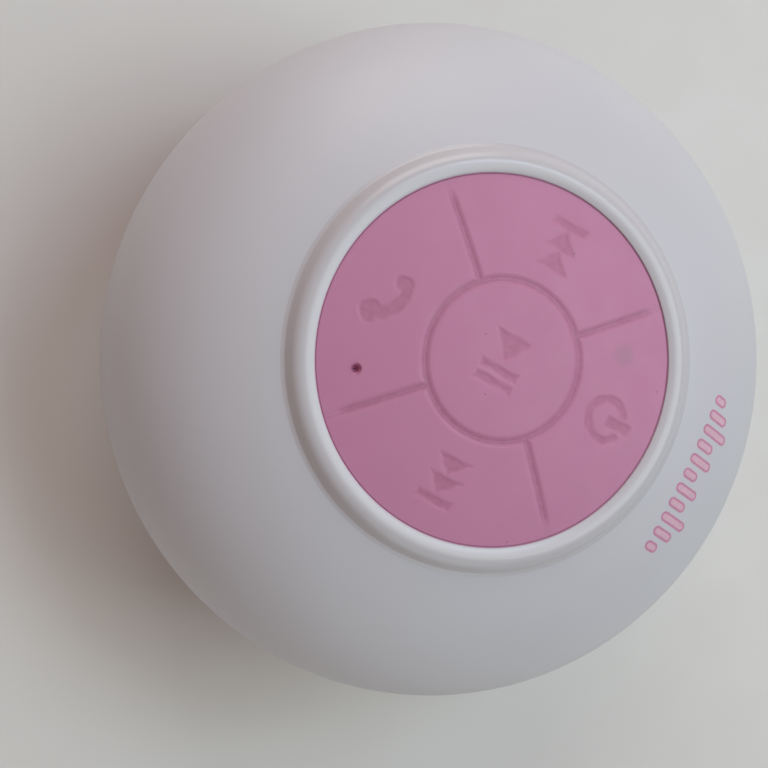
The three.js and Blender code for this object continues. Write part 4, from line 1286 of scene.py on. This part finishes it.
def make_camera():
    """Looks down on the keypad from a little to the picture's left."""
    sensor = 36.0
    camera = bpy.data.cameras.new("camera")
    camera.sensor_width = sensor
    camera.lens = sensor * FOCAL_SHARE
    camera.clip_start, camera.clip_end = 0.01, 20
    holder = in_scene("camera", camera)
    sideways = -math.sin(CAMERA_TILT) * CAMERA_DISTANCE
    place = in_picture(sideways, 0, EQUATOR_Z + math.cos(CAMERA_TILT) * CAMERA_DISTANCE)
    aim = in_picture(AIM_RIGHT, AIM_UP, EQUATOR_Z)
    back = (place - aim).normalized()
    right = PICTURE_UP.cross(back).normalized()
    up = back.cross(right)
    holder.matrix_world = Matrix.Translation(place) @ Matrix((right, up, back)).transposed().to_4x4()
    bpy.context.scene.camera = holder


def make_floor():
    """Pale painted table top with faint clouds and scattered specks."""
    bpy.ops.mesh.primitive_plane_add(size=3)
    floor = bpy.context.object
    floor.name = "floor"
    finish = Finish("table_paint", TABLE_WHITE, 0.55)
    clouds = finish.shades(finish.noise(45, detail=5), TABLE_WHITE, 0.965, 1.03)
    finish.set(Base_Color=finish.mix(finish.specks(22, 0.035, 0.2), clouds, tinted(TABLE_WHITE, 0.5)),
               Roughness=finish.varied(12, 0.48, 0.62, detail=5))
    finish.bumps((finish.noise(5, detail=3), 0.03))
    floor.data.materials.append(finish.material)


def make_light(name, place, size_mm, power, colour):
    """Square soft box aimed at the middle of the speaker."""
    light = bpy.data.lights.new(name, "AREA")
    light.shape = "SQUARE"
    light.size = size_mm * MM
    light.energy = power
    light.color = colour
    holder = in_scene(name, light)
    holder.location = place
    aim = Vector((0, 0, EQUATOR_Z * MM)) - place
    holder.rotation_mode = "QUATERNION"
    holder.rotation_quaternion = aim.to_track_quat("-Z", "Y")


SOFT_BOXES = {  # name: (turn, rise, distance, size, power, colour)
    "window": (45, 63, 900, 260, 1.05, (0.62, 0.8, 1.0)),
    "right_wall": (0, 55, 1500, 1000, 9.6, (0.79, 0.97, 1.0)),
    "upper_wall": (90, 25, 1500, 1000, 9.0, (1.0, 0.95, 0.92)),
    "lower_wall": (270, 25, 1500, 1000, 2.9, (0.75, 1.0, 0.97)),
}


def make_soft_boxes():
    """A cool window high on the picture's right, and pale walls to the right, above and below."""
    for name, (turn, rise, distance, size, power, colour) in SOFT_BOXES.items():
        turn, rise = math.radians(turn), math.radians(rise)
        flat = distance * math.cos(rise)
        place = in_picture(flat * math.cos(turn), flat * math.sin(turn), distance * math.sin(rise))
        make_light(name, place, size, power, colour)


def make_room():
    """Warm dim light from all round; a view that looks past the table sees a plain grey backdrop."""
    world = bpy.data.worlds.new("room")
    bpy.context.scene.world = world
    world.use_nodes = True
    tree = world.node_tree
    room_light = add_node(tree, "Background", Color=(1.0, 0.66, 0.58), Strength=0.26)
    backdrop = add_node(tree, "Background", Color=(0.46, 0.45, 0.44), Strength=1.0)
    seen = add_node(tree, "LightPath").outputs["Is Camera Ray"]
    choice = add_node(tree, "MixShader", seen, room_light.outputs[0], backdrop.outputs[0])
    feed(tree.nodes["World Output"].inputs["Surface"], choice.outputs[0])
    bpy.context.scene.view_settings.view_transform = "Standard"


# --- the whole scene

make_camera()
make_floor()
make_soft_boxes()
make_room()
finish_cad_nodes()
make_front_shell()
make_bezel()
make_rear_shell()
make_screws(CASE_SCREWS, head_radius=2.2, head_height=1.5, shank_radius=1.1, recess_span=2.4)
make_screws(BOARD_SCREWS, head_radius=1.9, head_height=1.3, shank_radius=0.9, recess_span=2.0)
make_screws(["suction_cup_screw"], head_radius=4.0, head_height=1.4, shank_radius=1.5, recess_span=4.2)
make_keypad()
make_print()
make_port_cover()
make_port_strap()
make_charge_socket()
make_suction_cup()
make_surround()
make_cone()
make_dust_cap()
